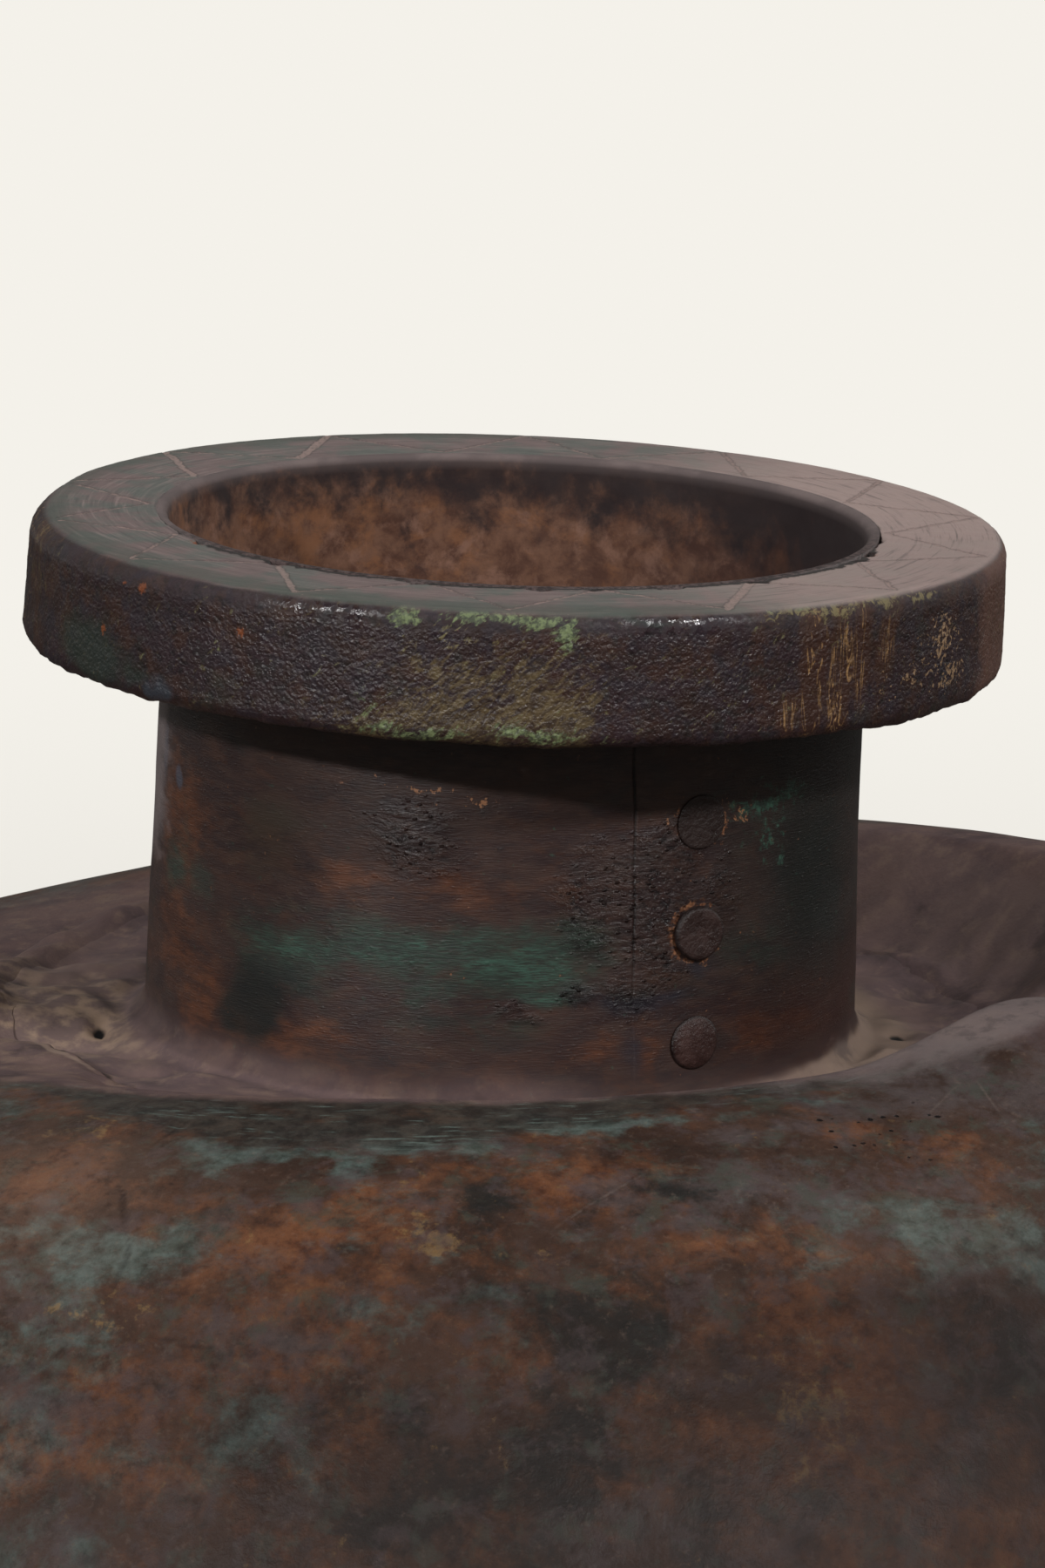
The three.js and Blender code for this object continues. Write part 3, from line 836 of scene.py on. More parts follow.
def collar_sheet(material):
    azimuths = closer_turn(COLLAR_POINTS, math.radians(np.mean(SEAM_TURN)), math.radians(5), 0.16)
    outside, path = collar_path(azimuths)
    grid = turned(path, azimuths)
    r, azimuth = around(grid)
    height = grid[..., 2]
    outer = np.zeros(r.shape, bool)
    outer[: len(outside)] = True
    on_foot = r < FOOT_RADIUS + 3
    wall = outer & (height < RIM_FOOT) & on_foot
    past = past_seam(grid, azimuth)
    seam_depth = ramp(height, 14, 40) * (0.75 + 0.35 * smooth_noise(grid, 6, 77))
    groove = bell(past, SEAM_WIDTH) * (0.12 + 0.88 * seam_depth)
    step = SEAM_STEP * between(past, -0.1, 0.3, 8, 30)
    grid = raised(grid, wall * (relief(grid, NECK_LUMPS) + step - SEAM_GROOVE * groove))
    flange = ~on_foot & (height < 8)
    grid[..., 2] += flange * flange_lift(grid, r, azimuth, outer)
    marked = collar_marks(grid, r, azimuth, height, outer)
    marked["seam"] = groove * wall
    mesh = grid_mesh("collar_sheet", grid, marked)
    finished(mesh, "neck_collar", material, NECK_FRAME)


def rivet_halo(azimuth, height):
    """A corroded arc round the middle rivet, open to the right, and flecks either side of the upper one."""
    across = NECK_RADIUS * turn_between(azimuth, RIVET_AZIMUTH)
    rings = 0
    for name in ("middle", "upper"):
        rise = height - RIVET_HEIGHTS[name]
        turn = np.arctan2(rise, across)
        share = 1 - bell(turn, 0.9)
        if name == "upper":
            share = np.where(np.cos(turn) > 0, 1, 0.55) * np.cos(turn) ** 2
        rings = rings + share * bell(np.hypot(across, rise) - HEAD_RADIUS - 0.4, 1.1)
    return rings


def zigzag(grid):
    """Distance to the nearest stroke of the rim's zigzag, and how bold that stroke is."""
    tips = [(TOOTH_TIP[0] + 360 * k / TEETH, TOOTH_TIP[1]) for k in range(TEETH + 1)]
    roots = [(TOOTH_ROOT[0] + 360 * k / TEETH, TOOTH_ROOT[1]) for k in range(TEETH)]
    bent = grid + 0.35 * rough_noise(grid, 6, 20)[..., None]
    nearest = np.full(grid.shape[:2], np.inf)
    boldness = np.zeros(grid.shape[:2])
    for stroke in [*zip(tips, roots), *zip(roots, tips[1:])]:
        middle = math.radians((stroke[0][0] + stroke[1][0]) / 2)
        bold = max(share * near(middle, at, BOLD_REACH) for at, share in BOLD_STROKES)
        gap = gap_to_run(bent, stroke)
        boldness = np.where(gap < nearest, bold, boldness)
        nearest = np.minimum(nearest, gap)
    return nearest, boldness


def rim_path(azimuths):
    """The ring's section, worn round on the left, with its outer and bore radius at each azimuth."""
    circle = turned(point(RIM_RADIUS, 0)[None], azimuths)[0]
    left = near(azimuths, *WORN_RIM)
    worn = np.maximum(left, 0.3 * ramp(smooth_noise(circle, 60, 11), 0.2, 0.8))
    top_round = RIM_TOP_ROUND + 2.8 * worn
    outer = RIM_RADIUS + 0.25 * smooth_noise(circle, 50, 12)
    low_outer = outer + 0.6 * left
    high_outer = outer - 0.4 * left
    bore = LIP_RADIUS + mouth_crack(azimuths) * (0.7 + 1.3 * ramp(rough_noise(circle, 7, 13, 4), -0.3, 1))
    foot_centre = (low_outer - RIM_FOOT_ROUND, RIM_FOOT + RIM_FOOT_ROUND)
    top_centre = (high_outer - top_round, NECK_HEIGHT - top_round)
    path = joined(
        line(point(NECK_RADIUS + CLEARANCE, RIM_FOOT), point(foot_centre[0], RIM_FOOT), 10),
        arc(foot_centre, RIM_FOOT_ROUND, RIM_FOOT_ROUND, -90, 0, 6),
        line(point(low_outer, foot_centre[1]), point(high_outer, top_centre[1]), 28),
        arc(top_centre, top_round, top_round, 0, 90, 12),
        line(point(top_centre[0], NECK_HEIGHT), point(bore, NECK_HEIGHT), 40),
        line(point(bore, NECK_HEIGHT), point(NECK_RADIUS + CLEARANCE, RIM_FOOT), 4),
    )
    return path, outer, bore


def rim_cast(material):
    azimuths = even_turn(RIM_POINTS)
    path, outer, bore = rim_path(azimuths)
    grid = turned(path, azimuths)
    r, azimuth = around(grid)
    degrees = np.degrees(azimuth)
    height = grid[..., 2]
    on_top = ramp(height, NECK_HEIGHT - 1.2, NECK_HEIGHT - 0.2)
    fillet = (1 - on_top) * ramp(height, NECK_HEIGHT - 5.5, NECK_HEIGHT - 3)
    grain = CAST_GRAIN * rough_noise(grid, 2.2, 14) + CAST_SWELL * smooth_noise(grid, 13, 15)
    ragged = RAGGED_FOOT * rough_noise(grid, 3.6, 16) * bell(height - RIM_FOOT, 2)
    stroke_gap, boldness = zigzag(grid)
    lift = (1 - 0.75 * on_top) * grain + ragged * ramp(r, outer - 8, outer - 2)
    lift -= STROKE_DEPTH * on_top * bell(stroke_gap, STROKE_WIDTH)
    grid = raised(grid, np.where(r < bore + 0.4, 0, lift))
    drift = rough_noise(grid, 24, 17, 4)
    chips = max_of(near(azimuth, at, CHIP_REACH) for at in CRACK_RUST) * on_top * bell(r - bore, CHIP_WIDTH)
    grid[..., 2] -= CHIP_DEPTH * ramp(chips, 0.3, 0.7)
    side = elsewhere(azimuth, *RIM_FRONT) * (1 - on_top)
    marked = marks(RIM_MARKS, RIM_RADIUS, azimuth, height, grid)
    marked["ochre"] *= fall(degrees, OCHRE_END - 1.6, OCHRE_END + 0.8)
    marked["ochre"] += side * ramp(drift, 0.35, 1.2)
    marked["green"] += side * ramp(-drift, 0.45, 1.2)
    marked["moss"] += side * ramp(rough_noise(grid, 30, 18), 0.1, 0.9)
    marked["drips"] += 0.8 * side * ramp(drift, 0.2, 0.9)
    marked["specks"] += 0.6 * side
    marked["rust"] += chips
    marked.update({
        "brown": (1 - on_top) * between(degrees, 58, 78, 100, 140),
        "top": on_top,
        "smooth": near(azimuth, *SMOOTH_RIM),
        "fillet": fillet,
        "glint": fillet * max_of(near(azimuth, at, GLINT_REACH) for at in GLINTS),
        "margin": on_top * ramp(r, 84, 97) * (1 - 0.6 * ramp(degrees, 15, 40)),
        # Paler dust and a painted sheen on the top, to the right and rear right
        "pale": on_top * between(degrees, 12, 45, 130, 170) * (0.82 + 0.3 * ramp(degrees, 60, 110)),
        "stroke": stroke_gap + 50 * (1 - on_top),
        "bold": boldness,
        "bore_gap": r - bore + 20 * (1 - mouth_crack(azimuth)),
    })
    mesh = grid_mesh("rim_cast", grid, marked)
    finished(mesh, "rim_ring", material, NECK_FRAME)


# The rivets


def rivet_mesh(name, grip, head_path, seed, age=0.4):
    """A rivet along +Z, its head's underside at 0 and its peened tail past the grip."""
    tail_top = -grip - 2 * CLEARANCE
    path = joined(
        *[point(r * TAIL_RADIUS, tail_top - z * TAIL_HEIGHT) for r, z in TAIL_OUTLINE],
        point(SHANK_RADIUS, tail_top),
        point(SHANK_RADIUS, 0),
        head_path,
    )
    grid = turned(path, even_turn(RIVET_POINTS))
    own_place = grid + seed / MM
    noise = rough_noise(own_place, 2.6, seed)
    on_head = ramp(grid[..., 2], 0, 0.4)
    grid[..., :2] *= 1 + (0.05 * on_head * smooth_noise(own_place, 5, seed + 3))[..., None]
    grid[..., 2] += 0.12 * on_head * noise
    from_middle = np.hypot(grid[..., 0], grid[..., 1]) / HEAD_RADIUS
    return grid_mesh(name, grid, {"edge": from_middle, "age": np.full(noise.shape, age)}, ends_meet=False)


def flat_head(height):
    """A hammered-down head: a wide flat with a short rounded edge."""
    flat = HEAD_RADIUS - HEAD_EDGE
    return joined(
        line(point(HEAD_RADIUS, 0), point(HEAD_RADIUS, 0.3 * height), 2),
        arc((flat, 0.3 * height), HEAD_EDGE, 0.7 * height, 0, 90, 5),
        line(point(flat, height), point(0, height), 9),
        point(0, height),
    )


def domed_head(height):
    """A low round head."""
    return joined(arc((0, 0), HEAD_RADIUS, height, 0, 90, 14), point(0, height))


def set_rivet(mesh, node, material, azimuth, radius, height, matrix=Matrix()):
    """Turns a rivet to face outwards at an azimuth and seats it on a wall."""
    seat = Matrix.Rotation(azimuth, 4, "Z") @ Matrix.Translation((0, -radius * MM, height * MM))
    mesh.transform(matrix @ seat @ Matrix.Rotation(math.pi / 2, 4, "X"))
    finished(mesh, node, material)


def neck_rivets(material):
    for seed, (name, height) in enumerate(RIVET_HEIGHTS.items()):
        shape = domed_head if name == "lower" else flat_head
        head = shape(HEAD_HEIGHTS[name])
        share = (height - FOOT_FILLET) / (RIM_FOOT - FOOT_FILLET)
        seat = FOOT_RADIUS + (NECK_RADIUS - FOOT_RADIUS) * share + CLEARANCE
        mesh = rivet_mesh(f"neck_rivet_head_{name}", NECK_WALL, head, 91 + seed, HEAD_AGES[name])
        set_rivet(mesh, f"neck_rivet_{name}", material, RIVET_AZIMUTH, seat, height, NECK_FRAME)


def belly_rivets(material):
    for k in range(BELLY_RIVETS):
        head = domed_head(BELLY_HEAD + BELLY_HEAD_SPREAD * math.sin(5 * k))
        mesh = rivet_mesh(f"belly_rivet_head_{k + 1:02d}", BELLY_GRIP, head, 101 + k)
        turn = 2 * math.pi * k / BELLY_RIVETS
        set_rivet(mesh, f"belly_rivet_{k + 1:02d}", material, turn, BODY_RADIUS + CLEARANCE, BELLY_HEIGHT)


# Materials


def hue(code):
    """A colour in linear light from six hexadecimal digits."""
    parts = [int(code[k : k + 2], 16) / 255 for k in (0, 2, 4)]
    return (*[c / 12.92 if c <= 0.04045 else ((c + 0.055) / 1.055) ** 2.4 for c in parts], 1)


class Nodes:
    """Short ways to make and join the nodes of a tree."""

    def __init__(self, tree):
        self.tree = tree

    def feed(self, socket, value):
        if isinstance(value, bpy.types.NodeSocket):
            self.tree.links.new(value, socket)
        else:
            socket.default_value = value

    def made(self, kind, inputs, output=0, **settings):
        """An output of a new node, whose inputs are fed by number or name."""
        node = self.tree.nodes.new(kind)
        for key, value in settings.items():
            setattr(node, key, value)
        for key, value in inputs.items():
            self.feed(node.inputs[key], value)
        return node.outputs[output]

    def math(self, operation, *values):
        return self.made("ShaderNodeMath", dict(enumerate(values)), operation=operation)

    def times(self, a, b):
        return self.math("MULTIPLY", a, b)

    def times_plus(self, a, b, c):
        """a times b, plus c."""
        return self.math("MULTIPLY_ADD", a, b, c)

    def vector(self, operation, values, output=0):
        return self.made("ShaderNodeVectorMath", dict(enumerate(values)), output, operation=operation)

    def ease(self, value, low, high, to_low=0, to_high=1):
        """A smooth rise between two levels of a value."""
        levels = {"Value": value, "From Min": low, "From Max": high, "To Min": to_low, "To Max": to_high}
        return self.made("ShaderNodeMapRange", levels, "Result", interpolation_type="SMOOTHSTEP")

    def mix(self, share, a, b):
        """A colour between two."""
        return self.made("ShaderNodeMix", {0: share, 6: a, 7: b}, 2, data_type="RGBA")

    def ray(self, name):
        """Whether light is followed from the camera or from a gloss."""
        return self.made("ShaderNodeLightPath", {}, name)


class Finish(Nodes):
    """A material of the pot or the floor, with sizes in millimetres."""

    def __init__(self, name, specular):
        self.material = bpy.data.materials.new(name)
        self.material.use_nodes = True
        super().__init__(self.material.node_tree)
        self.shader = self.tree.nodes["Principled BSDF"]
        self.shader.inputs["Specular IOR Level"].default_value = specular
        self.place = self.made("ShaderNodeTexCoord", {}, "Object")

    def mark(self, name):
        return self.made("ShaderNodeAttribute", {}, "Fac", attribute_name=name)

    def marked(self, name, share, base):
        """A base with a share of a mark on top."""
        return self.times_plus(self.mark(name), share, base)

    def stretched(self, wide, tall):
        """Coordinates that change at one rate across the pot and another up it."""
        return self.vector("MULTIPLY", (self.place, (wide, wide, tall)))

    def slanted(self, degrees, along):
        """Coordinates stretched along a slant in the pot's front, up to the right for a negative angle."""
        turn = {"Vector": self.place, "Angle": math.radians(-degrees)}
        upright = self.made("ShaderNodeVectorRotate", turn, rotation_type="Y_AXIS")
        return self.vector("MULTIPLY", (upright, (along, 1, 1)))

    def swirl(self, across, along):
        """Coordinates that change at one rate away from the pot's axis and another round it."""
        reach = self.vector("LENGTH", (self.stretched(1, 0),), "Value")
        x, y = [self.made("ShaderNodeSeparateXYZ", {0: self.place}, k) for k in (0, 1)]
        parts = {0: self.times(reach, across), 1: self.times(x, along), 2: self.times(y, along)}
        return self.made("ShaderNodeCombineXYZ", parts)

    def noise(self, size, detail=4, roughness=0.55, twist=0, place=None, seed=0):
        settings = {"Vector": place or self.place, "W": seed, "Scale": 1 / (size * MM), "Detail": detail}
        settings.update({"Roughness": roughness, "Distortion": twist})
        return self.made("ShaderNodeTexNoise", settings, "Fac", noise_dimensions="4D")

    def cells(self, size, place=None):
        settings = {"Vector": place or self.place, "Scale": 1 / (size * MM)}
        return self.made("ShaderNodeTexVoronoi", settings, "Distance")

    def tones(self, noise, low, high, one, other):
        """One colour where a noise is low and another where it is high."""
        return self.mix(self.ease(noise, low, high), hue(one), hue(other))

    def broken(self, mark, noise, reach, low, high, most=1):
        """A mark's cover, its edge broken by a noise that reaches so far either way."""
        level = self.times_plus(noise, reach, self.mark(mark))
        return self.ease(level, low + reach / 2, high + reach / 2, 0, most)

    def scratch(self, run, noise):
        """A fine line between two places on the shoulder, seen from above, worn thin by a noise."""
        start, end = [np.array([*on_circle(r * MM, turn), 0]) for turn, r in run]
        length = np.linalg.norm(end - start)
        along = (end - start) / length
        offset = self.vector("SUBTRACT", (self.stretched(1, 0), start))
        reach = self.vector("DOT_PRODUCT", (offset, along), "Value")
        aside = self.vector("DOT_PRODUCT", (offset, (-along[1], along[0], 0)), "Value")
        aside = self.times_plus(noise, 0.8 * MM, self.math("SUBTRACT", aside, 0.4 * MM))
        from_middle = self.math("ABSOLUTE", self.math("SUBTRACT", reach, length / 2))
        share = self.ease(self.math("ABSOLUTE", aside), 0.4 * MM, 0.15 * MM)
        share = self.times(share, self.ease(from_middle, length / 2, length / 3))
        return self.times(share, self.ease(noise, 0.35, 0.65, 0.05, 0.5))

    def bump(self, height, depth, below=None):
        settings = {"Distance": depth * MM, "Height": height}
        if below:
            settings["Normal"] = below
        return self.made("ShaderNodeBump", settings, "Normal")

    def done(self, colour, roughness, normal):
        self.feed(self.shader.inputs["Base Color"], colour)
        self.feed(self.shader.inputs["Roughness"], roughness)
        self.feed(self.shader.inputs["Normal"], normal)
        return self.material


class Coat:
    """A colour laid down in layers over two tones. A layer's colour is six digits or made by nodes."""

    def __init__(self, finish, *tones):
        self.finish = finish
        self.colour = finish.tones(*tones)

    def lay(self, share, colour):
        over = hue(colour) if isinstance(colour, str) else colour
        self.colour = self.finish.mix(share, self.colour, over)

    def tint(self, noise, low, high, most, colour):
        """A layer that comes in between two levels of a noise."""
        self.lay(self.finish.ease(noise, low, high, 0, most), colour)

    def wash(self, mark, most, colour):
        """A layer as strong as a mark."""
        self.lay(self.finish.times(self.finish.mark(mark), most), colour)

    def cover(self, mark, noise, reach, low, high, most, colour):
        """A layer on a mark, its edge broken by a noise."""
        self.lay(self.finish.broken(mark, noise, reach, low, high, most), colour)


def rim_top_colour(f, patches, worn):
    """The ring's dusty flat top, paler to the right with dust and a painted sheen, and greener at its margin.
    """
    dusty = Coat(f, f.noise(11, 5, 0.6), 0.42, 0.6, "71615f", "5d605b")
    # Paler dust with a painted sheen to the right and rear right of the top
    dusty.wash("pale", 0.85, "a48f89")
    dusty.tint(worn, 0.5, 0.68, 0.55, "94827e")
    dusty.tint(worn, 0.48, 0.32, 0.55, "484242")
    dusty.cover("margin", patches, 1, 0.3, 1, 0.65, "494f48")
    dusty.tint(f.noise(0.5, 3), 0.64, 0.74, 0.5, "a08b84")
    return dusty.colour


def zigzag_strokes(f, coat, speckle, grain):
    """Pale broken strokes with painted shade along their edges."""
    width = f.marked("bold", 0.9, f.ease(speckle, 0.35, 0.65, 0, 0.5))
    stroke = f.ease(f.math("SUBTRACT", f.mark("stroke"), width), 0.25, -0.1, 0, 0.7)
    stroke = f.times(stroke, f.ease(grain, 0.34, 0.5, 0.3, 1))
    coat.lay(stroke, "99827b")
    past_edge = f.math("SUBTRACT", f.mark("stroke"), f.math("ADD", width, 0.25))
    shade = f.ease(past_edge, 0.3, 0, 0, 0.45)
    coat.lay(f.math("SUBTRACT", shade, f.times(stroke, 0.6)), "332a2a")


def cast_bronze():
    f = Finish("cast_bronze", 0.5)
    patches = f.noise(7, 5, 0.6)
    tinge = f.noise(4.5, 4, 0.6, 0.3)
    lumps = f.noise(2, 3, place=f.stretched(0.8, 1.2))
    grain = f.noise(0.8, 3, 0.6)
    speckle = f.noise(2, 5, 0.7)
    fibre = f.noise(1.6, 5, 0.68, 1.2, f.slanted(-38, 0.4))
    worn = f.noise(1.5, 4, 0.6, 0, f.swirl(2.2, 0.1))
    coat = Coat(f, patches, 0.42, 0.58, "2e2024", "2c1d1b")
    coat.tint(tinge, 0.47, 0.6, 0.8, "2a2228")
    coat.tint(f.noise(8, 5, 0.65, seed=3), 0.5, 0.62, 0.8, "39241d")
    coat.tint(f.noise(5, 5, 0.65, seed=5), 0.54, 0.66, 0.45, "272a28")
    coat.tint(lumps, 0.47, 0.32, 0.6, "120d0e")
    # Lighter where the grain rises: partly a painted highlight on its bumps
    coat.tint(grain, 0.56, 0.74, 0.3, "50424a")
    coat.cover("moss", patches, 1.2, 0.25, 0.85, 0.75, "29332d")
    coat.cover("blue", tinge, 1, 0.3, 0.8, 0.65, "3a4048")
    coat.cover("brown", patches, 1.4, 0.2, 0.9, 0.8, "61443a")
    coat.cover("drips", patches, 1.2, 0.05, 0.6, 0.6, "402619")
    coat.cover("ochre", fibre, 2.6, 0.15, 0.8, 0.9, f.tones(fibre, 0.4, 0.6, "382c23", "5c4d34"))
    coat.cover("streaks", fibre, 4, 0.5, 0.95, 0.9, "6f6444")
    verdigris = f.tones(f.noise(1), 0.42, 0.6, "434a38", "727f58")
    coat.cover("green", fibre, 3.4, 0.45, 0.85, 0.9, verdigris)
    wander = f.noise(3.4, 3, twist=1, place=f.stretched(1, 0.14))
    thread = f.ease(f.math("PINGPONG", wander, 0.07), 0.014, 0.004)
    thread = f.times(thread, f.ease(speckle, 0.34, 0.54, 0.2, 1))
    coat.lay(f.times(thread, f.ease(f.mark("drips"), 0.25, 0.7, 0, 0.9)), "927049")
    coat.cover("specks", f.noise(1.1, 3, 0.6, 0.5), 3.4, 0.9, 1.1, 0.9, "93775a")
    coat.wash("top", 0.94, rim_top_colour(f, patches, worn))
    zigzag_strokes(f, coat, speckle, grain)
    coat.cover("rust", grain, 2, 0.35, 0.7, 0.9, "7a4122")
    # Painted shadow darkening the ring's edge along the crack round the mouth
    coat.tint(f.times_plus(speckle, 4, f.mark("bore_gap")), 3.7, 3.1, 0.95, "150d0c")
    calm = f.marked("glint", -0.3, f.marked("fillet", -0.35, f.marked("top", -0.9, 1)))
    calm = f.times(calm, f.marked("smooth", -0.65, 1))
    heights = f.times_plus(f.cells(0.9), -0.35, f.times_plus(lumps, 0.4, grain))
    normal = f.bump(f.times(heights, calm), 0.42)
    normal = f.bump(f.times(worn, f.mark("top")), 0.05, normal)
    roughness = f.marked("fillet", 0.45, f.ease(f.noise(5), 0.35, 0.65, 0.28, 0.4))
    bright = f.times(f.mark("glint"), f.ease(f.noise(1.6, 3), 0.44, 0.56))
    return f.done(coat.colour, f.times_plus(bright, -0.66, f.marked("top", 0.25, roughness)), normal)


def neck_copper():
    f = Finish("neck_copper", 0.36)
    streak = f.noise(7, 6, 0.65, 0.3, f.stretched(1, 3.2))
    hair = f.noise(2.4, 4, 0.6, 0, f.stretched(1, 8))
    cloud = f.noise(18, 5, 0.6, 0.4, f.stretched(1, 1.8))
    mist = f.noise(12, 6, 0.66, 0.4, f.stretched(1, 1.7), 5)
    haze = f.noise(9, 6, 0.66, 0.4, f.stretched(1, 2.2), 8)
    speckle = f.noise(1.4, 4, 0.65)
    coat = Coat(f, cloud, 0.38, 0.62, "2d2020", "372622")
    coat.tint(streak, 0.44, 0.64, 0.7, "402f29")
    coat.tint(haze, 0.5, 0.66, 0.7, "41291f")
    coat.tint(haze, 0.46, 0.34, 0.4, "262728")
    coat.cover("olive", cloud, 1.2, 0.3, 0.9, 0.8, "352c23")
    coat.cover("orange", mist, 2.4, 0.15, 1, 0.9, f.tones(streak, 0.4, 0.6, "40261c", "5a3522"))
    coat.cover("green", mist, 2.2, 0.15, 1, 0.85, f.tones(hair, 0.42, 0.62, "28302b", "2e4138"))
    coat.lay(f.times(f.broken("green", streak, 3.4, 0.75, 1.5, 0.7), f.ease(hair, 0.36, 0.6)), "3a5a4d")
    coat.cover("dark", cloud, 1, 0.25, 0.95, 0.85, "191d1c")
    coat.cover("navy", mist, 2, 0.25, 0.9, 0.75, "22212a")
    # Painted shade down the neck's right side, green-black above and red-brown low down
    coat.wash("deep", 0.6, f.mix(f.mark("low"), hue("0f1512"), hue("2a0e06")))
    # Painted shade on the neck just under the ring
    coat.wash("under", 0.3, "0c0808")
    # Painted bluish sheen at the neck's left edge
    coat.cover("blue", mist, 1.2, 0.35, 0.9, 0.7, "474a56")
    # Dust and a painted sheen on the neck's left edge
    coat.cover("edge_dust_and_painted_sheen", haze, 1.2, 0.1, 0.8, 0.85, "756a6a")
    crust = f.tones(speckle, 0.4, 0.62, "24352e", "3b5f4f")
    coat.cover("crust", f.noise(2, 5, 0.7, 0.4), 4, 0.5, 1.1, 0.85, crust)
    coat.cover("flecks", speckle, 4, 0.8, 1.05, 0.9, "9a6c4c")
    coat.cover("halo", speckle, 4, 0.55, 1.1, 0.85, f.tones(f.noise(0.9, 3), 0.42, 0.6, "5c3825", "9c6b4b"))
    coat.tint(f.mark("seam"), 0.15, 0.8, 0.9, "0d0a0a")
    pitted = f.broken("pits", mist, 1.6, 0.3, 0.9)
    grit = f.ease(f.cells(1.6, f.stretched(0.8, 1.3)), 0.3, 0.08)
    dots = f.times(grit, f.ease(f.noise(3.4, 3), 0.42, 0.56))
    pit_noise = f.noise(1.6, 4, 0.65, 0, f.stretched(0.8, 1.2))
    coat.lay(f.times(pitted, 0.3), "1a1212")
    coat.lay(f.times(pitted, f.ease(pit_noise, 0.5, 0.36, 0, 0.85)), "130e0f")
    # Painted highlights on the raised dots in the pitted patches
    coat.lay(f.times(f.times(pitted, dots), 0.15), "4f423f")
    coat.tint(hair, 0.58, 0.78, 0.2, "55473f")
    coat.tint(f.mark("dust"), 0.05, 0.85, 0.95, recess_colour(f))
    coat.lay(f.mark("inside"), inner_colour(f))
    front_lip = f.tones(speckle, 0.4, 0.62, "2c2221", "574846")
    rear_lip = f.tones(cloud, 0.4, 0.62, "5c5150", "6f6260")
    coat.lay(f.mark("lip"), f.mix(f.mark("rear"), front_lip, rear_lip))
    matte = f.math("MAXIMUM", f.mark("inside"), f.mark("foot"))
    bare = f.math("SUBTRACT", 1, matte)
    heights = f.times_plus(dots, 1.2, f.times(pit_noise, 0.6))
    heights = f.times(heights, f.times_plus(pitted, 0.95, 0.05))
    normal = f.bump(f.times(heights, bare), 0.9)
    normal = f.bump(f.times(hair, bare), 0.14, normal)
    roughness = f.times_plus(pitted, -0.16, f.ease(cloud, 0.35, 0.65, 0.37, 0.5))
    return f.done(coat.colour, f.times_plus(matte, 0.45, roughness), normal)


def inner_colour(f):
    """The warm blotched inside of the neck, sooty and dripping under the lip, and darker to the right."""
    drip = f.noise(9, 7, 0.66, 0.3, f.stretched(1, 0.85))
    warm = Coat(f, f.noise(7, 7, 0.7, 0.3, f.stretched(1, 1.15)), 0.36, 0.64, "482d22", "6c4c3b")
    warm.tint(f.noise(9, 7, 0.68, 0.3, f.stretched(1, 1.2), 7), 0.48, 0.66, 0.7, "7c5236")
    warm.tint(f.noise(6, 7, 0.68, 0.3, seed=9), 0.5, 0.66, 0.6, "846252")
    warm.tint(drip, 0.46, 0.3, 0.6, "2b1b1a")
    warm.wash("far_right", 0.85, "2b1512")
    level = f.times_plus(drip, -50, f.math("ADD", f.mark("soot"), 25))
    warm.tint(level, -7, 8, 0.9, "1e1618")
    return warm.colour


def recess_colour(f):
    """Soft pinkish-grey dust in the moat, paler in places, with painted light, painted shade in its pits, and
    a painted highlight and shadow at the lap.
    """
    drift = f.noise(16, 6, 0.62, 0.5)
    soft = f.noise(6, 5, 0.6)
    dust = Coat(f, drift, 0.4, 0.62, "594849", "6c5753")
    dust.tint(soft, 0.5, 0.68, 0.6, "806a5e")
    # Pale dust and painted light on the moat's left
    dust.wash("left_dust_and_painted_light", 0.75, f.tones(soft, 0.42, 0.6, "6f5d58", "a08873"))
    # Painted light on the moat's right wall, where the neck's shadow falls
    dust.wash("light", 0.2, "917e79")
    dust.wash("pale", 0.7, "7f6c5c")
    dust.tint(drift, 0.45, 0.33, 0.6, "3f3434")
    dust.tint(f.noise(2, 4, 0.65), 0.55, 0.75, 0.3, "8a7468")
    # Painted highlight on the ragged lap's edge and painted shadow under it
    dust.cover("lap_painted_highlight", soft, 1.6, 0.3, 0.8, 0.85, "917c6f")
    dust.cover("lap_painted_shadow", soft, 2.2, 0.3, 0.75, 0.9, "150f0f")
    # The pits painted black with shade
    dust.tint(f.mark("painted_pit_shade"), 0.4, 0.75, 1, "080606")
    return dust.colour


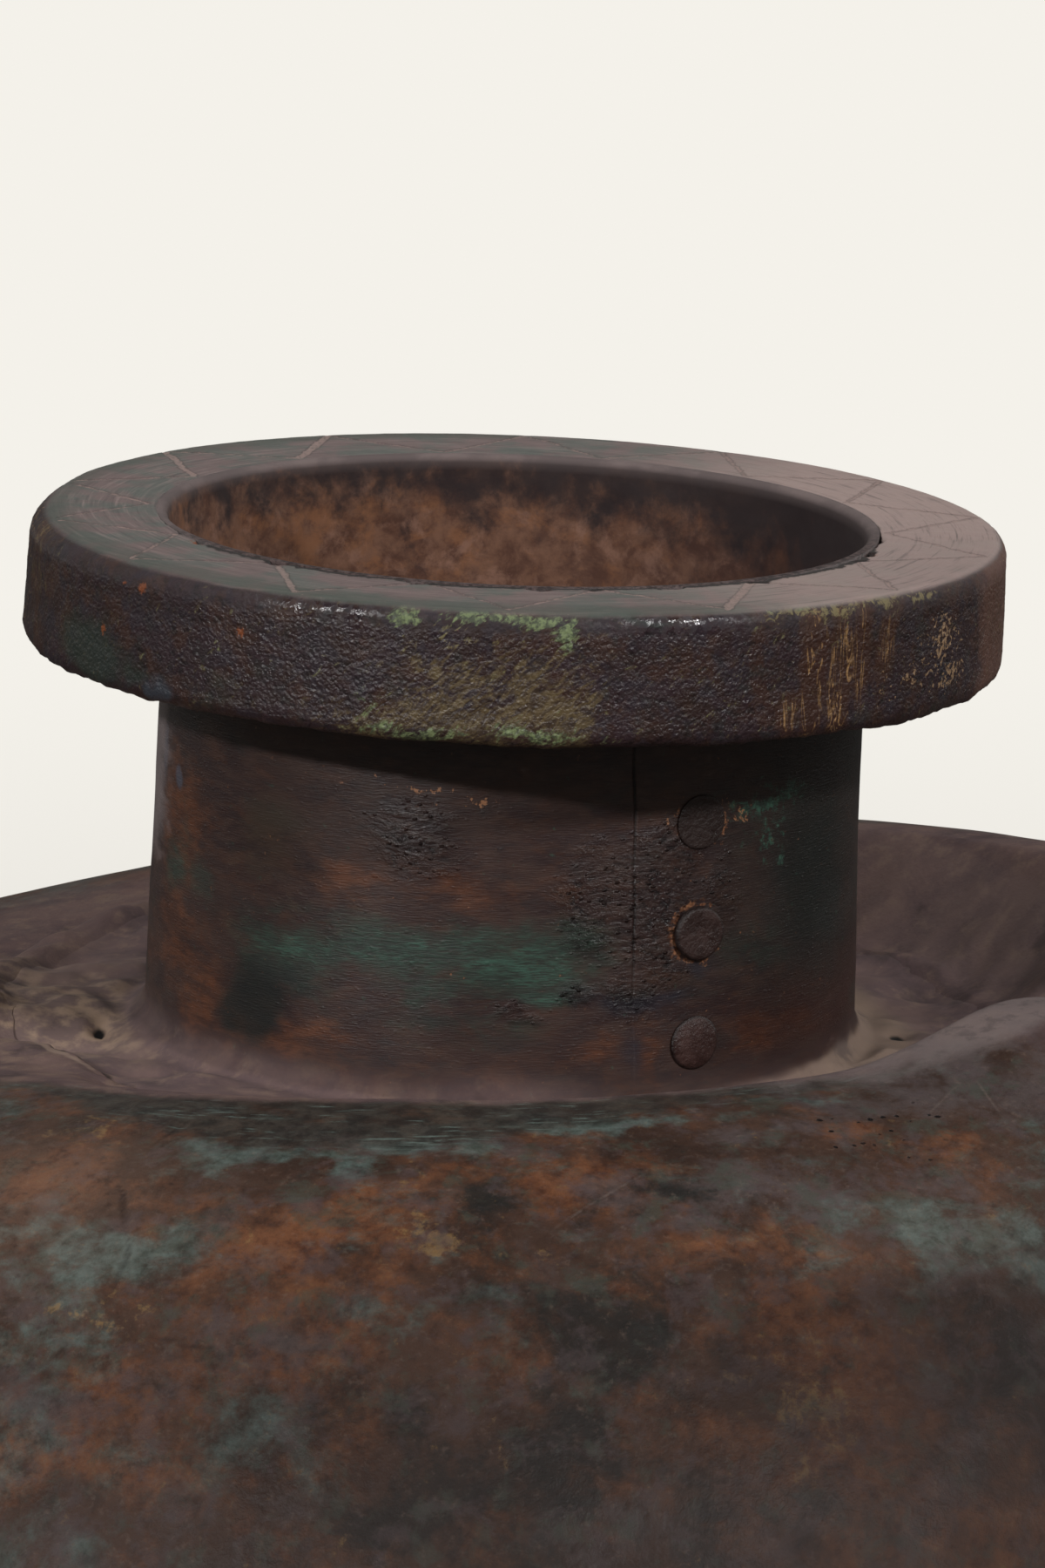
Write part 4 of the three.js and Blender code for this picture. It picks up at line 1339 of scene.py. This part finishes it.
def body_copper():
    f = Finish("body_copper", 0.14)
    broad = f.noise(26, 8, 0.64, 0.5)
    blotch = f.noise(14, 8, 0.7, 0.4, seed=3)
    ember = f.noise(17, 8, 0.7, 0.4, seed=11)
    smear = f.noise(13, 8, 0.7, 0.3, f.swirl(1.2, 0.9), 5)
    soot = f.noise(13, 8, 0.7, 0.4, seed=7)
    dapple = f.noise(5, 7, 0.72, 0.2, seed=9)
    speckle = f.noise(1.8, 4, 0.65)
    dash = f.noise(2.4, 4, 0.6, 0.2, f.swirl(2.4, 0.3))
    coat = Coat(f, broad, 0.36, 0.64, "33251f", "46332a")
    coat.cover("orange", ember, 4.5, 0.05, 1.2, 0.9, f.tones(dapple, 0.36, 0.62, "513122", "6f4831"))
    coat.cover("purple", blotch, 4.5, 0.3, 1.3, 0.75, "504746")
    coat.cover("green", smear, 4.2, 0.25, 1.2, 0.85, f.tones(dapple, 0.36, 0.64, "39443f", "5a6763"))
    coat.cover("dark", soot, 4, 0.25, 1.2, 0.85, "202221")
    coat.cover("ochre", dapple, 5, 0.6, 1.2, 0.7, "7a6140")
    coat.tint(f.noise(9, 7, 0.7, 0.3, seed=13), 0.5, 0.62, 0.5, "4d4243")
    coat.tint(f.noise(8, 7, 0.7, 0.3, seed=15), 0.52, 0.64, 0.5, "3f453d")
    # Painted light in broad patches to either side of the front
    coat.wash("painted_light_patches", 0.22, "8a7264")
    coat.tint(dapple, 0.47, 0.3, 0.4, "1f1715")
    coat.tint(speckle, 0.54, 0.74, 0.28, "76645a")
    coat.tint(speckle, 0.46, 0.28, 0.32, "1c1514")
    # Painted shade, strongest towards the shoulder's foot and over the bowl
    coat.wash("low", 0.5, "1f1614")
    coat.cover("crest", smear, 2.4, 0.3, 1, 0.8, f.tones(dapple, 0.4, 0.6, "272523", "3e3b36"))
    flecked = f.times(f.mark("crest"), f.ease(dash, 0.54, 0.68, 0, 0.75))
    coat.lay(f.times(flecked, f.ease(smear, 0.46, 0.56)), "66746e")
    coat.wash("dust", 0.92, recess_colour(f))
    # Painted sheen along the crest's right, mottled darker in places
    coat.cover("painted_crest_sheen", blotch, 1.2, 0.3, 0.9, 0.75, "6e6361")
    coat.lay(f.times(f.mark("painted_crest_sheen"), f.ease(dapple, 0.5, 0.36, 0, 0.5)), "463f3f")
    # Painted shade in the creases
    coat.tint(f.mark("painted_crease_shade"), 0.3, 1, 0.45, "1c1515")
    for run in SCRATCHES:
        coat.lay(f.scratch(run, speckle), "625651")
    pit_size = f.times_plus(f.noise(2.4, 2), 0.6, f.cells(3.2))
    pits = f.times(f.ease(pit_size, 0.47, 0.4), f.ease(f.mark("pits"), 0.25, 0.7))
    coat.lay(pits, "140e0e")
    normal = f.bump(f.math("SUBTRACT", speckle, pits), 0.25, f.bump(dapple, 0.28))
    return f.done(coat.colour, f.marked("dust", 0.3, f.ease(broad, 0.35, 0.65, 0.42, 0.56)), normal)


def rivet_copper():
    f = Finish("rivet_copper", 0.35)
    cloud = f.noise(4, 5, 0.6)
    fine = f.noise(1.1, 4, 0.65)
    coat = Coat(f, cloud, 0.4, 0.62, "301e1b", "422d29")
    coat.wash("age", 0.8, "251c1a")
    # Lighter where the fine noise rises, as the bump does: partly a painted highlight
    coat.tint(fine, 0.54, 0.76, 0.45, "4c3c38")
    fresh = f.ease(f.mark("age"), 0.5, 1, 1, 0.3)
    coat.lay(f.times(f.ease(f.mark("edge"), 0.86, 1, 0, 0.8), fresh), "150f0e")
    return f.done(coat.colour, f.ease(cloud, 0.35, 0.65, 0.36, 0.52), f.bump(fine, 0.5))


# The camera, floor and light


def camera():
    data = bpy.data.cameras.new("photo_camera")
    data.lens = LENS_MM
    data.sensor_width = SENSOR_MM
    data.clip_end = VIEW_REACH
    made = placed("photo_camera", data)
    made.location = [c * MM for c in CAMERA_PLACE]
    made.rotation_euler = (math.pi / 2 - CAMERA_PITCH, 0, 0)
    bpy.context.scene.camera = made


def sun(name, strength, softness, azimuth, elevation):
    """A distant lamp that shines from an azimuth and elevation in degrees."""
    data = bpy.data.lights.new(name, "SUN")
    data.energy = strength
    data.angle = math.radians(softness)
    made = placed(name, data)
    made.rotation_euler = (math.radians(90 - elevation), 0, math.radians(azimuth))


def studio_sky():
    """Cream to the eye, a bright band above the horizon in gloss, and a softer light on everything else."""
    world = bpy.data.worlds.new("studio")
    world.use_nodes = True
    n = Nodes(world.node_tree)
    background = n.tree.nodes["Background"]
    background.inputs["Color"].default_value = CREAM
    direction = n.made("ShaderNodeTexCoord", {}, "Generated")
    band = n.ease(n.made("ShaderNodeSeparateXYZ", {0: direction}, "Z"), *BAND_LEVELS, *BAND_STRENGTHS)
    unseen = n.made("ShaderNodeMix", {0: n.ray("Is Glossy Ray"), 2: SKY_STRENGTH, 3: band})
    strength = n.made("ShaderNodeMix", {0: n.ray("Is Camera Ray"), 2: unseen, 3: 1})
    n.feed(background.inputs["Strength"], strength)
    bpy.context.scene.world = world


def floor():
    """A wide pale floor that keeps the pot's shadow and fades to the backdrop's cream far off."""
    mesh = bpy.data.meshes.new("floor")
    corners = [(x * FLOOR_REACH, y * FLOOR_REACH, 0) for x, y in ((-1, -1), (1, -1), (1, 1), (-1, 1))]
    mesh.from_pydata(corners, [], [(0, 1, 2, 3)])
    f = Finish("floor", FLOOR_SPECULAR)
    f.shader.inputs["Roughness"].default_value = FLOOR_ROUGHNESS
    seen = f.ray("Is Camera Ray")
    f.feed(f.shader.inputs["Base Color"], f.mix(seen, FLOOR_BOUNCE, FLOOR_PAINT))
    far = f.times(f.ease(f.vector("LENGTH", (f.place,), "Value"), *FLOOR_FADE), seen)
    cream = f.made("ShaderNodeEmission", {"Color": CREAM})
    dim = f.made("ShaderNodeEmission", {"Color": CREAM, "Strength": FLOOR_GLOSS})
    faded = f.made("ShaderNodeMixShader", {0: far, 1: f.shader.outputs[0], 2: cream})
    surface = f.made("ShaderNodeMixShader", {0: f.ray("Is Glossy Ray"), 1: faded, 2: dim})
    f.feed(f.tree.nodes["Material Output"].inputs["Surface"], surface)
    mesh.materials.append(f.material)
    made = placed("floor", mesh)


bpy.context.scene.view_settings.view_transform = "Standard"
camera()
studio_sky()
floor()
for lamp in LAMPS:
    sun(*lamp)

sheet_finish = body_copper()
rivet_finish = rivet_copper()
rim_cast(cast_bronze())
collar_sheet(neck_copper())
shoulder_sheet(sheet_finish)
bowl_sheet(sheet_finish)
neck_rivets(rivet_finish)
belly_rivets(rivet_finish)
